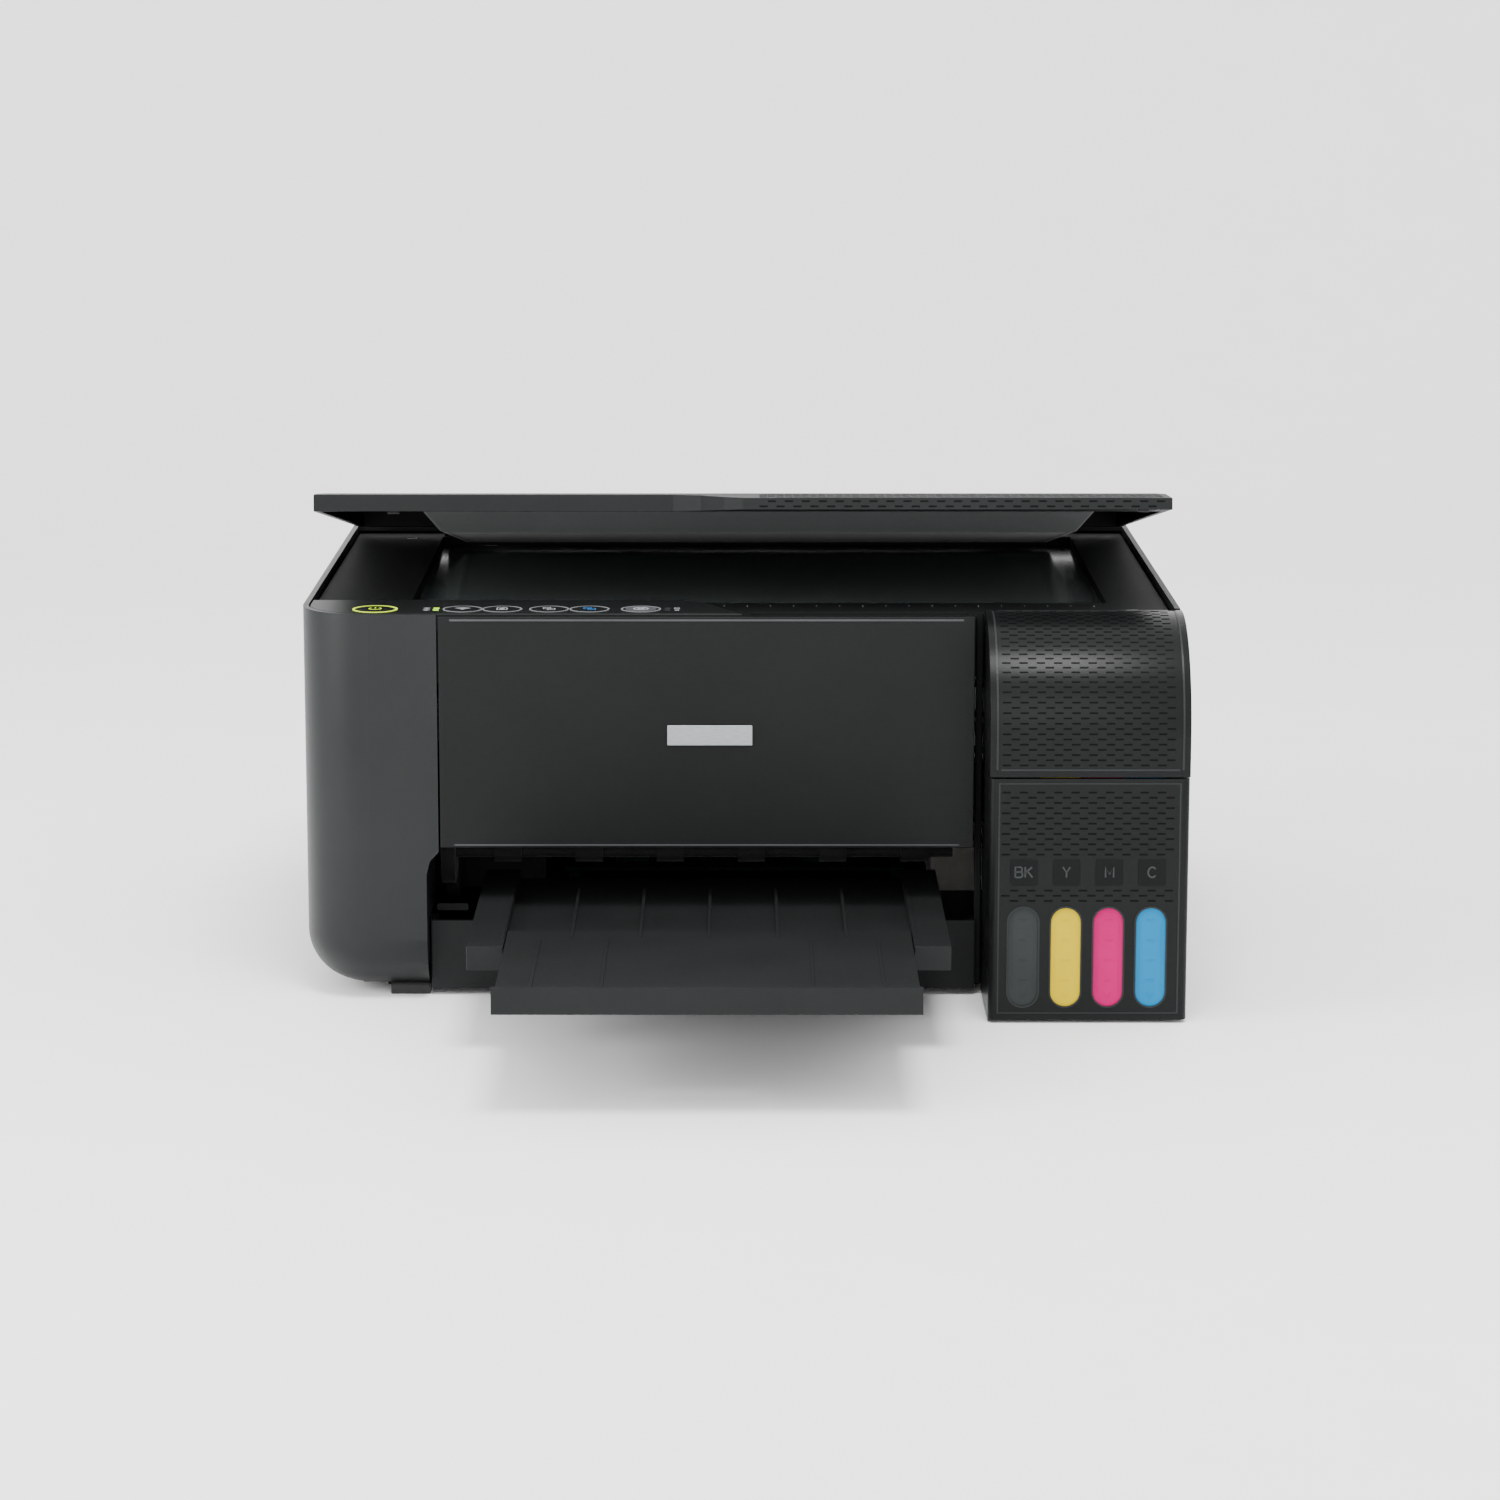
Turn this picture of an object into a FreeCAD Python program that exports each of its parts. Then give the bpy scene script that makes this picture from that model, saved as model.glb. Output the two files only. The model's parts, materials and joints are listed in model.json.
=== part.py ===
import FreeCAD, Part
import math
import os
import re

import Sketcher

# Four-tank flatbed inkjet printer. Millimetres, +Z up, the front faces -Y.
# The origin is on the table under the middle of the body.

Vector = FreeCAD.Vector

# Driving dimensions: (alias, value, what it is).
DIMENSIONS = [
    # whole body
    ("body_width", 375, "over the side housings"),
    ("body_depth", 347, "tank front to rear wall"),
    ("case_height", 168, "table to the side rims"),
    ("lid_top", 179, "table to the closed document cover's top"),
    ("foot_height", 3, "rubber feet under the lower case"),
    ("skin", 2.4, "wall of the outer mouldings"),
    ("seam", 0.8, "gap between two outer mouldings"),
    ("running", 0.5, "clearance of a piece that slides or swings"),
    ("rail_y", 15, "carriage rail, front to back"),
    ("rail_z", 80, "carriage rail above the table"),
    ("scan_rail_y", 20, "scanning rail, front to back"),
    ("column_width", 58.8, "left front column"),
    ("column_base", 4, "table to the underside of the left column"),
    ("column_depth", 55, "front to back of the column's inner wall"),
    ("corner_radius", 30, "upright corner of the left column"),
    ("bottom_radius", 23, "lower edge of the left column"),
    ("rear_radius", 14, "upright rear corners"),
    ("side_radius", 8, "lower edge of the right side"),
    ("rear_wrap", 28, "depth of the rear housing"),
    # output opening and tray
    ("opening_height", 67.5, "table to the lower edge of the front panel"),
    ("opening_inset", 5.3, "column is narrower by this beside the opening"),
    ("lip_height", 33, "front lip of the lower case"),
    ("floor_thickness", 3, "lower case floor"),
    ("path_centre", -13, "middle of the paper path across the body"),
    ("sheet_width", 210, "widest sheet"),
    ("paper_level", 55, "table to the sheet on the platen"),
    ("tray_width", 198, "first stage of the output tray"),
    ("tray_length", 150, "first stage of the output tray, front to back"),
    ("tray_thickness", 10, "first stage of the output tray"),
    ("tray_base", 34.5, "table to the underside of the output tray"),
    ("tray_reach", 93, "travel of the first stage"),
    ("extension_width", 166.8, "second stage of the output tray"),
    ("extension_length", 130, "second stage, front to back"),
    ("tray_channel", 4, "depth of the channel that the second stage slides in"),
    ("extension_sheet", 3.5, "second stage's plate"),
    ("extension_top", 51.5, "table to the top of the second stage"),
    ("extension_lip", 10.5, "height of the second stage's front face"),
    ("extension_reach", 93, "travel of the second stage"),
    ("stopper_width", 46, "flip-up paper stop"),
    ("stopper_length", 24, "flip-up paper stop"),
    # ink tanks
    ("tank_width", 83.5, "tank unit across"),
    ("tank_proud", 38, "tank unit stands this far in front of the body"),
    ("tank_depth", 54, "tank unit front to back"),
    ("tank_base", 1.5, "table to the underside of the tank unit"),
    ("tank_seam", 105, "table to the seam under the tank cover"),
    ("tank_arc", 46, "arc of the tank cover"),
    ("tank_pitch", 17.83, "from one tank to the next"),
    ("tank_inset", 14.5, "tank unit's left side to the first tank's centre"),
    ("tank_block", 16.4, "one tank across"),
    ("tank_top", 97, "table to the tanks' shoulders"),
    ("window_width", 13.1, "ink level window"),
    ("window_low", 7, "table to the window's lower end"),
    ("window_high", 50, "table to the window's upper end"),
    ("cap_length", 21, "filler cap front to back"),
    ("cap_height", 6, "filler cap"),
    # scanner unit
    ("scanner_rear", 144.5, "rear face of the scanner unit"),
    ("scanner_base", 138, "table to the scanner case's underside"),
    ("bed_level", 164.6, "table to the surface around the glass"),
    ("bed_thickness", 4.2, "scanner frame plate"),
    ("glass_thickness", 2.8, "platen glass"),
    ("glass_left", -143, "visible glass, left edge"),
    ("glass_right", 159, "visible glass, right edge"),
    ("glass_front", -80, "visible glass, front edge"),
    ("glass_rear", 131.5, "visible glass, rear edge"),
    ("scanner_hinge_y", 139.5, "axis on which the scanner unit lifts"),
    ("scanner_hinge_z", 158, "axis on which the scanner unit lifts"),
    ("scanner_pin", 2.3, "hinge pins of the scanner unit"),
    ("panel_depth", 40, "control panel front to back"),
    ("panel_end", -29, "control panel's right end at the back"),
    ("button_radius", 6.6, "round buttons"),
    ("button_travel", 0.8, "how far a button goes in"),
    ("power_button_radius", 7.6, "power button"),
    # document cover
    ("lid_hinge_y", 137.5, "document cover's axis"),
    ("lid_hinge_z", 166, "document cover's axis"),
    ("lid_angle", 9.3, "document cover stands open by this"),
    ("lid_front", -116.3, "closed cover's front edge, right part"),
    ("lid_step", 23.3, "left part's front edge is further back by this"),
    ("lid_lip", 5, "height of the cover's front edge"),
    ("lid_skin", 2.5, "cover moulding"),
    ("mat_clearance", 0.7, "closed cover's mat above the glass"),
    # print engine
    ("frame_plate", 1.6, "chassis sheet metal"),
    ("frame_half", 177, "chassis from the middle to each side plate"),
    ("frame_y", 50, "chassis back plate"),
    ("rail_radius", 4, "carriage rail"),
    ("carriage_width", 54, "print carriage across"),
    ("carriage_home", 145, "middle of the parked print carriage"),
    ("head_gap", 2.5, "sheet to the print head"),
    ("pulley_radius", 6, "carriage belt pulleys"),
    ("belt_height", 100, "table to the pulley axles"),
    ("feed_radius", 5, "feed roller"),
    ("feed_y", 30, "feed roller axis"),
    ("eject_y", -62, "eject roller axis"),
    ("eject_radius", 4.5, "eject roller"),
    ("feed_gear", 18, "feed gear pitch radius"),
    ("eject_gear", 14, "eject gear pitch radius"),
    ("pinion_gear", 6, "feed motor pinion pitch radius"),
    ("gear_width", 6, "gears"),
    ("mesh_gap", 0.15, "between the rims of meshing gears"),
    # rear sheet feeder
    ("feed_angle", 47, "slope of the sheets above the horizontal"),
    ("slope_y", 160, "top of the slope"),
    ("slope_z", 162, "top of the slope"),
    ("support_width", 196, "paper support"),
    ("support_length", 96, "paper support along the slope"),
    ("support_sheet", 2.2, "paper support plates"),
    ("support_reach", 60, "travel of each paper support plate"),
    ("feeder_length", 118, "feeder back plate along the slope"),
    ("feeder_margin", 8, "feeder side wall to the widest sheet"),
    ("pickup_radius", 12, "pickup roller"),
]

doc = FreeCAD.newDocument("inkjet_printer")
sheet = doc.addObject("Spreadsheet::Sheet", "dims")
for row, (alias, value, meaning) in enumerate(DIMENSIONS, start=1):
    sheet.set("A%d" % row, alias)
    sheet.set("B%d" % row, str(value))
    sheet.set("C%d" % row, meaning)
    sheet.setAlias("B%d" % row, alias)
doc.recompute()

ALIASES = {alias for alias, value, meaning in DIMENSIONS}

# Lines that many pieces share, as expressions of the sheet's aliases.
LEFT = "(-body_width / 2)"
RIGHT = "(body_width / 2)"
TANK_FRONT = "(-body_depth / 2)"
FRONT = "(-body_depth / 2 + tank_proud)"
REAR = "(body_depth / 2)"
COLUMN_EDGE = "(column_width - body_width / 2)"
OPENING_LEFT = "(column_width - body_width / 2 - opening_inset)"
TANK_LEFT = "(body_width / 2 - tank_width)"
TANK_REAR = "(-body_depth / 2 + tank_depth)"
REAR_SEAM = "(body_depth / 2 - rear_wrap)"
PANEL_RIGHT = "(body_width / 2 - tank_width - 2 * seam - skin - 0.7)"
SCANNER_LEFT = "(-body_width / 2 + skin + seam)"
SCANNER_RIGHT = "(body_width / 2 - skin - seam)"
BULKHEAD = "(-body_depth / 2 + tank_depth + 1.5 * seam)"
SCANNER_FRONT_RIGHT = "(-body_depth / 2 + tank_depth + 2.5 * seam + skin)"
CASE_TOP = "(bed_level - bed_thickness)"
PANEL_REAR = "(-body_depth / 2 + tank_proud + 2 + panel_depth)"
PATH_LEFT = "(path_centre - sheet_width / 2)"
PATH_RIGHT = "(path_centre + sheet_width / 2)"
HEAD_LEVEL = "(paper_level + head_gap)"

parts = []


def bound(expression):
    """An expression with each alias written as a cell of the sheet."""
    def cell(match):
        word = match.group(0)
        return "dims." + word if word in ALIASES else word
    return re.sub(r"[A-Za-z_][A-Za-z_0-9]*", cell, str(expression))


def bind(thing, prop, expression):
    """Bind one property of a document object to the sheet."""
    thing.setExpression(prop, bound(expression))


def size(alias):
    """The number in a cell."""
    return float(sheet.get(alias))


def keep(thing, label):
    """Make a document object a sub-part: its label is its node's name."""
    thing.Label = label
    parts.append(thing)
    return thing


def block(x, y, z):
    """A box from (low, high) expressions along each axis."""
    box = doc.addObject("Part::Box", "Box")
    for prop, axis, (low, high) in zip(("Length", "Width", "Height"), "xyz", (x, y, z)):
        bind(box, "Placement.Base." + axis, low)
        bind(box, prop, "(%s) - (%s)" % (high, low))
    return box


TURNS = {
    "X": FreeCAD.Rotation(Vector(0, 1, 0), 90),
    "Y": FreeCAD.Rotation(Vector(1, 0, 0), -90),
    "Z": FreeCAD.Rotation(),
}


def rod(axis, span, first, second, radius):
    """A cylinder along an axis; first and second are its place on the other two axes."""
    cylinder = doc.addObject("Part::Cylinder", "Rod")
    cylinder.Placement = FreeCAD.Placement(Vector(), TURNS[axis])
    others = [letter for letter in "XYZ" if letter != axis]
    bind(cylinder, "Placement.Base." + axis.lower(), span[0])
    bind(cylinder, "Placement.Base." + others[0].lower(), first)
    bind(cylinder, "Placement.Base." + others[1].lower(), second)
    bind(cylinder, "Radius", radius)
    bind(cylinder, "Height", "(%s) - (%s)" % (span[1], span[0]))
    return cylinder


def fuse(*shapes):
    """One piece out of several that touch or overlap."""
    joined = doc.addObject("Part::MultiFuse", "Fuse")
    joined.Shapes = list(shapes)
    joined.Refine = True
    return joined


def cut(base, *tools):
    """A piece less each of the tools."""
    for tool in tools:
        result = doc.addObject("Part::Cut", "Cut")
        result.Base = base
        result.Tool = tool
        base = result
    return base


def group(*shapes):
    """Separate solids that share one node."""
    together = doc.addObject("Part::Compound", "Group")
    together.Links = list(shapes)
    return together


# Sketch planes: the role of the origin plane, and which way its normal points.
PLANES = {
    "XY": ("XY_Plane", 1),
    "XZ": ("XZ_Plane", -1),
    "YZ": ("YZ_Plane", 1),
}


def outline(plane, corners, span, rounds=()):
    """A PartDesign body: a closed outline on a plane, padded over a span.

    corners are pairs of expressions, and span is the (low, high) pair along the
    plane's third axis. rounds are (corner numbers, radius) pairs.
    """
    body = doc.addObject("PartDesign::Body", "Body")
    role, sense = PLANES[plane]
    sketch = body.newObject("Sketcher::SketchObject", "Outline")
    support = [item for item in body.Origin.OriginFeatures if item.Role == role][0]
    sketch.AttachmentSupport = [(support, "")]
    sketch.MapMode = "FlatFace"
    start = span[0] if sense > 0 else "-(%s)" % span[1]
    bind(sketch, "AttachmentOffset.Base.z", start)
    count = len(corners)
    ring = [
        Vector(math.cos(2 * math.pi * i / count), math.sin(2 * math.pi * i / count), 0)
        for i in range(count)
    ]
    for i in range(count):
        sketch.addGeometry(Part.LineSegment(ring[i], ring[(i + 1) % count]), False)
    for i in range(count):
        sketch.addConstraint(Sketcher.Constraint("Coincident", i, 2, (i + 1) % count, 1))
    for i, (across, up) in enumerate(corners):
        for kind, place in (("DistanceX", across), ("DistanceY", up)):
            number = sketch.addConstraint(Sketcher.Constraint(kind, -1, 1, i, 1, 1.0))
            sketch.setExpression("Constraints[%d]" % number, bound(place))
    pad = body.newObject("PartDesign::Pad", "Pad")
    pad.Profile = sketch
    bind(pad, "Length", "(%s) - (%s)" % (span[1], span[0]))
    for numbers, radius in rounds:
        doc.recompute()
        normal = sketch.Placement.Rotation.multVec(Vector(0, 0, 1))
        places = [
            sketch.Placement.multVec(sketch.Geometry[i].StartPoint) for i in numbers
        ]
        round_edges(body, radius, lambda edge: runs_through(edge, places, normal))
    return body


def runs_through(edge, places, direction):
    """Is an edge a straight line along a direction, through one of the places?"""
    if not isinstance(edge.Curve, Part.Line):
        return False
    if edge.Curve.Direction.cross(direction).Length > 1e-6:
        return False
    start = edge.Vertexes[0].Point
    return any((start - place).cross(direction).Length < 1e-4 for place in places)


def round_edges(body, radius, wanted):
    """Add a PartDesign fillet to a body's edges that a test picks out."""
    base = body.Tip
    names = [
        "Edge%d" % (i + 1) for i, edge in enumerate(base.Shape.Edges) if wanted(edge)
    ]
    if not names:
        raise ValueError("no edge to round on " + body.Label)
    fillet = body.newObject("PartDesign::Fillet", "Round")
    fillet.Base = (base, names)
    bind(fillet, "Radius", radius)
    doc.recompute()
    return fillet


def tilt(thing, angle, y, z):
    """Turn a finished piece about the X direction through (y, z)."""
    bind(thing, "Placement.Rotation.Axis.x", "1")
    bind(thing, "Placement.Rotation.Axis.y", "0")
    bind(thing, "Placement.Rotation.Axis.z", "0")
    bind(thing, "Placement.Rotation.Angle", angle)
    bind(thing, "Placement.Base.y", "(%s) - (%s) * cos(%s) + (%s) * sin(%s)" % (y, y, angle, z, angle))
    bind(thing, "Placement.Base.z", "(%s) - (%s) * sin(%s) - (%s) * cos(%s)" % (z, y, angle, z, angle))
    return thing


def make_base_case():
    """Lower case, side housings, rear housing and feet."""
    inner_left = "(%s + bottom_radius + seam)" % LEFT
    behind_column = "(%s + bottom_radius + seam)" % FRONT
    opening_side = "(%s + seam)" % OPENING_LEFT
    front_lip = "(%s + 12)" % FRONT
    tank_side = "(%s - 3)" % TANK_LEFT
    behind_tank = "(%s + skin + seam)" % BULKHEAD
    right_side = "(%s - side_radius - 5)" % RIGHT
    back = "(%s - skin - seam)" % REAR
    tray = outline("XY", [
        (inner_left, behind_column), (opening_side, behind_column), (opening_side, front_lip),
        (tank_side, front_lip), (tank_side, behind_tank), (right_side, behind_tank),
        (right_side, back), (inner_left, back),
    ], ("foot_height", "lip_height"))
    inside = outline("XY", [
        (inner_left + " + skin", behind_column + " + skin"),
        (opening_side + " + skin", behind_column + " + skin"),
        (opening_side + " + skin", front_lip + " + skin"),
        (tank_side + " - skin", front_lip + " + skin"),
        (tank_side + " - skin", behind_tank + " + skin"),
        (right_side + " - skin", behind_tank + " + skin"),
        (right_side + " - skin", back + " - skin"),
        (inner_left + " + skin", back + " - skin"),
    ], ("foot_height + floor_thickness", "lip_height + 1"))
    keep(cut(tray, inside), "lower_case")

    make_left_housing(inner_left, behind_column)
    make_right_housing()
    make_rear_housing()

    pads = []
    for x in (inner_left + " + 10", "%s - 22" % right_side):
        for y in (behind_column + " + 8", back + " - 20"):
            pads.append(block((x, "%s + 12" % x), (y, "%s + 12" % y), ("0", "foot_height")))
    corner = "%s + 6" % TANK_LEFT, "%s - 16" % RIGHT
    for x in corner:
        pads.append(block((x, "%s + 10" % x), (TANK_FRONT + " + 6", TANK_FRONT + " + 16"), ("0", "tank_base")))
    pads.append(block(("%s - 17" % OPENING_LEFT, OPENING_LEFT), (FRONT + " + 14", FRONT + " + bottom_radius"),
                      ("0", "column_base")))
    pads.append(block(("-7", "7"), ("-7", "7"), ("0", "foot_height")))
    keep(group(*pads), "rubber_feet")


def make_left_housing(inner_left, behind_column):
    """The left side: a front column with a rounded corner, and the side wall."""
    def shell(inset, top, rear_extra=""):
        body = outline("XY", [
            (LEFT + " + " + inset, FRONT + " + " + inset),
            (COLUMN_EDGE + " - " + inset, FRONT + " + " + inset),
            (COLUMN_EDGE + " - " + inset, REAR_SEAM + rear_extra),
            (LEFT + " + " + inset, REAR_SEAM + rear_extra),
        ], ("column_base + " + inset, top), [((0,), "corner_radius - " + inset)])
        low = body.Shape.BoundBox.ZMin
        side = body.Shape.BoundBox.XMin
        front = body.Shape.BoundBox.YMin
        reach = size("corner_radius") * 1.01

        def under(edge):
            middle = edge.CenterOfMass
            if abs(middle.z - low) > 1e-6 or edge.BoundBox.ZLength > 1e-6:
                return False
            return middle.x < side + reach * 0.5 or middle.y < front + 1e-6
        round_edges(body, "bottom_radius - " + inset, under)
        return body

    outer = shell("0", "case_height")
    inner = shell("skin", "case_height + 10", " + 10")
    beyond = (REAR_SEAM, REAR_SEAM + " + 20")
    notch = outline("XZ", [
        (OPENING_LEFT, "-5"), (COLUMN_EDGE + " + 5", "-5"), (COLUMN_EDGE + " + 5", "opening_height"),
        (COLUMN_EDGE, "opening_height - 2"), (OPENING_LEFT + " + 1.5", "opening_height - 6"),
        (OPENING_LEFT, "opening_height - 12"),
    ], (FRONT + " - 5", beyond[1]))
    wall = block((OPENING_LEFT + " - skin", OPENING_LEFT), (FRONT + " + skin", FRONT + " + column_depth"),
                 ("lip_height + seam", "scanner_base - 6"))
    jamb = block((OPENING_LEFT + " - skin", COLUMN_EDGE), (FRONT + " + skin", FRONT + " + column_depth"),
                 ("opening_height", "scanner_base - 6"))
    foot_wall = block((OPENING_LEFT + " - skin", OPENING_LEFT), (FRONT + " + skin", behind_column),
                      ("column_base + bottom_radius / 2", "lip_height + seam"))
    shell_only = cut(outer, inner, notch)
    clear_floor = block((inner_left + " - seam", COLUMN_EDGE + " + 5"), (behind_column + " - seam", beyond[1]),
                        ("0", "column_base + bottom_radius"))
    clear_back = block((LEFT + " + corner_radius", COLUMN_EDGE + " + 5"),
                       (FRONT + " + column_depth", beyond[1]), ("0", "case_height + 5"))
    clear_over = block((OPENING_LEFT + " - skin - 1", COLUMN_EDGE + " + 5"), (FRONT + " + skin", beyond[1]),
                       ("scanner_base - 6", "case_height + 5"))
    bore = rod("X", (LEFT + " + 0.8", LEFT + " + skin + 1"), "scanner_hinge_y", "scanner_hinge_z", "scanner_pin + 0.1")
    trimmed = cut(shell_only, clear_floor, clear_back, clear_over)
    keep(cut(fuse(trimmed, wall, jamb, foot_wall), bore), "left_side_housing")


def make_right_housing():
    """The right side wall, with the bulkhead behind the tank unit."""
    side = outline("XZ", [
        (RIGHT, "case_height"), (RIGHT, "column_base"), (RIGHT + " - side_radius - 4", "column_base"),
        (RIGHT + " - side_radius - 4", "column_base + skin"), (RIGHT + " - skin", "column_base + skin"),
        (RIGHT + " - skin", "case_height"),
    ], (BULKHEAD, REAR_SEAM), [((1,), "side_radius"), ((4,), "side_radius - skin")])
    bulkhead = block((TANK_LEFT, RIGHT + " - skin"), (BULKHEAD, BULKHEAD + " + skin"),
                     ("tank_top + 12", "scanner_base + 20"))
    arms = []
    for low in (TANK_LEFT + " + skin + running", RIGHT + " - 2 * skin - running"):
        arms.append(block((low, low + " + skin"), (TANK_REAR + " - 5", BULKHEAD), ("scanner_base + 10", "case_height - 1")))
    bore = rod("X", (RIGHT + " - skin - 1", RIGHT + " - 0.8"), "scanner_hinge_y", "scanner_hinge_z", "scanner_pin + 0.1")
    pivot = rod("X", (TANK_LEFT + " + 1", RIGHT + " - skin - 0.1"), TANK_REAR + " - 2", "case_height - 3", "1.3")
    keep(cut(fuse(side, bulkhead, *arms), bore, pivot), "right_side_housing")


def make_rear_housing():
    """The wrap-round rear wall and deck, with the sheet slot and the sockets' openings."""
    outer = outline("XY", [
        (LEFT, REAR_SEAM + " + seam"), (RIGHT, REAR_SEAM + " + seam"), (RIGHT, REAR), (LEFT, REAR),
    ], ("column_base", "case_height"), [((2, 3), "rear_radius")])
    inner = outline("XY", [
        (LEFT + " + skin", REAR_SEAM), (RIGHT + " - skin", REAR_SEAM),
        (RIGHT + " - skin", REAR + " - skin"), (LEFT + " + skin", REAR + " - skin"),
    ], ("0", "case_height - skin"), [((2, 3), "rear_radius - skin")])
    slot = block((PATH_LEFT + " - feeder_margin", PATH_RIGHT + " + feeder_margin"),
                 (REAR_SEAM, REAR + " - skin"), ("case_height - skin - 1", "case_height + 1"))
    notch = block((PATH_LEFT + " - feeder_margin", PATH_RIGHT + " + feeder_margin"),
                  (REAR + " - skin - 1", REAR + " + 1"), ("case_height - 1.5 * skin", "case_height + 1"))
    inlet = block(("-158", "-136"), (REAR + " - skin - 1", REAR + " + 1"), ("38", "52"))
    port = block(("140", "153"), (REAR + " - skin - 1", REAR + " + 1"), ("38", "50"))
    keep(cut(outer, inner, slot, notch, inlet, port), "rear_housing")


def make_tank_unit():
    """Front cover with its level windows, four tanks with caps, and the hinged cover."""
    body = outline("XY", [
        (TANK_LEFT, TANK_FRONT), (RIGHT, TANK_FRONT), (RIGHT, TANK_REAR), (TANK_LEFT, TANK_REAR),
    ], ("tank_base", "tank_seam - seam / 2"), [((0, 1), "3")])
    inside = block((TANK_LEFT + " + skin", RIGHT + " - skin"), (TANK_FRONT + " + skin", TANK_REAR + " + 5"),
                   ("tank_base + skin", "tank_seam + 5"))
    colours = ("black", "yellow", "magenta", "cyan")
    windows = []
    for number in range(len(colours)):
        centre = "(%s + tank_inset + %d * tank_pitch)" % (TANK_LEFT, number)
        windows.append(stadium(centre, "window_width / 2", (TANK_FRONT + " - 1", TANK_FRONT + " + skin + 1")))
    keep(cut(body, inside, *windows), "tank_front_cover")

    for number, colour in enumerate(colours):
        centre = "(%s + tank_inset + %d * tank_pitch)" % (TANK_LEFT, number)
        tank = outline("XY", [
            (centre + " - tank_block / 2", TANK_FRONT + " + skin + 0.2"),
            (centre + " + tank_block / 2", TANK_FRONT + " + skin + 0.2"),
            (centre + " + tank_block / 2", TANK_REAR + " - 6"),
            (centre + " - tank_block / 2", TANK_REAR + " - 6"),
        ], ("tank_base + skin", "tank_top"), [((0, 1, 2, 3), "2")])
        lens = stadium(centre, "window_width / 2 - 0.3", (TANK_FRONT + " + 0.5", TANK_FRONT + " + skin + 1"))
        neck = rod("Z", ("tank_top - 1", "tank_top + 2.5"), centre, TANK_FRONT + " + 26", "5.5")
        hinge = block((centre + " - 3", centre + " + 3"), (TANK_FRONT + " + 39.5", TANK_FRONT + " + 44"),
                      ("tank_top - 1", "tank_top + 2.5"))
        keep(fuse(tank, lens, neck, hinge), "ink_tank_" + colour)

        low = "tank_top + 3"
        lid = outline("XY", [
            (centre + " - 7", TANK_FRONT + " + 37.5 - cap_length"), (centre + " + 7", TANK_FRONT + " + 37.5 - cap_length"),
            (centre + " + 7", TANK_FRONT + " + 37.5"), (centre + " - 7", TANK_FRONT + " + 37.5"),
        ], (low, low + " + cap_height"), [((0, 1), "4")])
        barrel = rod("X", (centre + " - 7", centre + " + 7"), TANK_FRONT + " + 39.5", low + " + 3", "2.4")
        web = block((centre + " - 5", centre + " + 5"), (TANK_FRONT + " + 37", TANK_FRONT + " + 39.5"),
                    (low + " + 1.5", low + " + 4.5"))
        keep(fuse(lid, barrel, web), "tank_cap_" + colour)

    skin_outer = outline("YZ", [
        (TANK_FRONT, "tank_seam + seam / 2"), (TANK_REAR, "tank_seam + seam / 2"), (TANK_REAR, "case_height"),
        (TANK_FRONT, "case_height"),
    ], (TANK_LEFT, RIGHT), [((3,), "tank_arc"), ((2,), "3.4")])
    skin_inner = outline("YZ", [
        (TANK_FRONT + " + skin", "tank_seam - 5"), (TANK_REAR + " + 5", "tank_seam - 5"),
        (TANK_REAR + " + 5", "case_height - skin"), (TANK_FRONT + " + skin", "case_height - skin"),
    ], (TANK_LEFT + " + skin", RIGHT + " - skin"), [((3,), "tank_arc - skin")])
    notches = []
    for low in (TANK_LEFT + " + skin", RIGHT + " - 2 * skin - 2 * running"):
        notches.append(block((low, low + " + skin + 2 * running"), (TANK_REAR + " - 6", TANK_REAR + " + 1"),
                             ("case_height - 12", "case_height + 1")))
    pin = rod("X", (TANK_LEFT + " + 1.5", RIGHT + " - 1.5"), TANK_REAR + " - 2", "case_height - 3", "1.2")
    hub = rod("X", (TANK_LEFT + " + 2 * skin + 2 * running", RIGHT + " - 2 * skin - 2 * running"),
              TANK_REAR + " - 2", "case_height - 3", "2.2")
    keep(fuse(cut(skin_outer, skin_inner, *notches), pin, hub), "tank_cover")


def stadium(centre, radius, span):
    """An upright slot with round ends, running front to back over a span."""
    low = "window_low + window_width / 2"
    high = "window_high - window_width / 2"
    ends = [rod("Y", span, centre, level, radius) for level in (low, high)]
    middle = block((centre + " - (" + radius + ")", centre + " + " + radius), span, (low, high))
    return fuse(middle, *ends)


def panel_end():
    """The curved right end of the control panel, from the back to the front."""
    return [
        ("panel_end", PANEL_REAR), ("panel_end + 9", PANEL_REAR + " - 3"),
        ("panel_end + 17", PANEL_REAR + " - 14"), ("panel_end + 23", PANEL_REAR + " - 27"),
        ("panel_end + 30", FRONT + " + skin + 0.2"),
    ]


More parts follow.
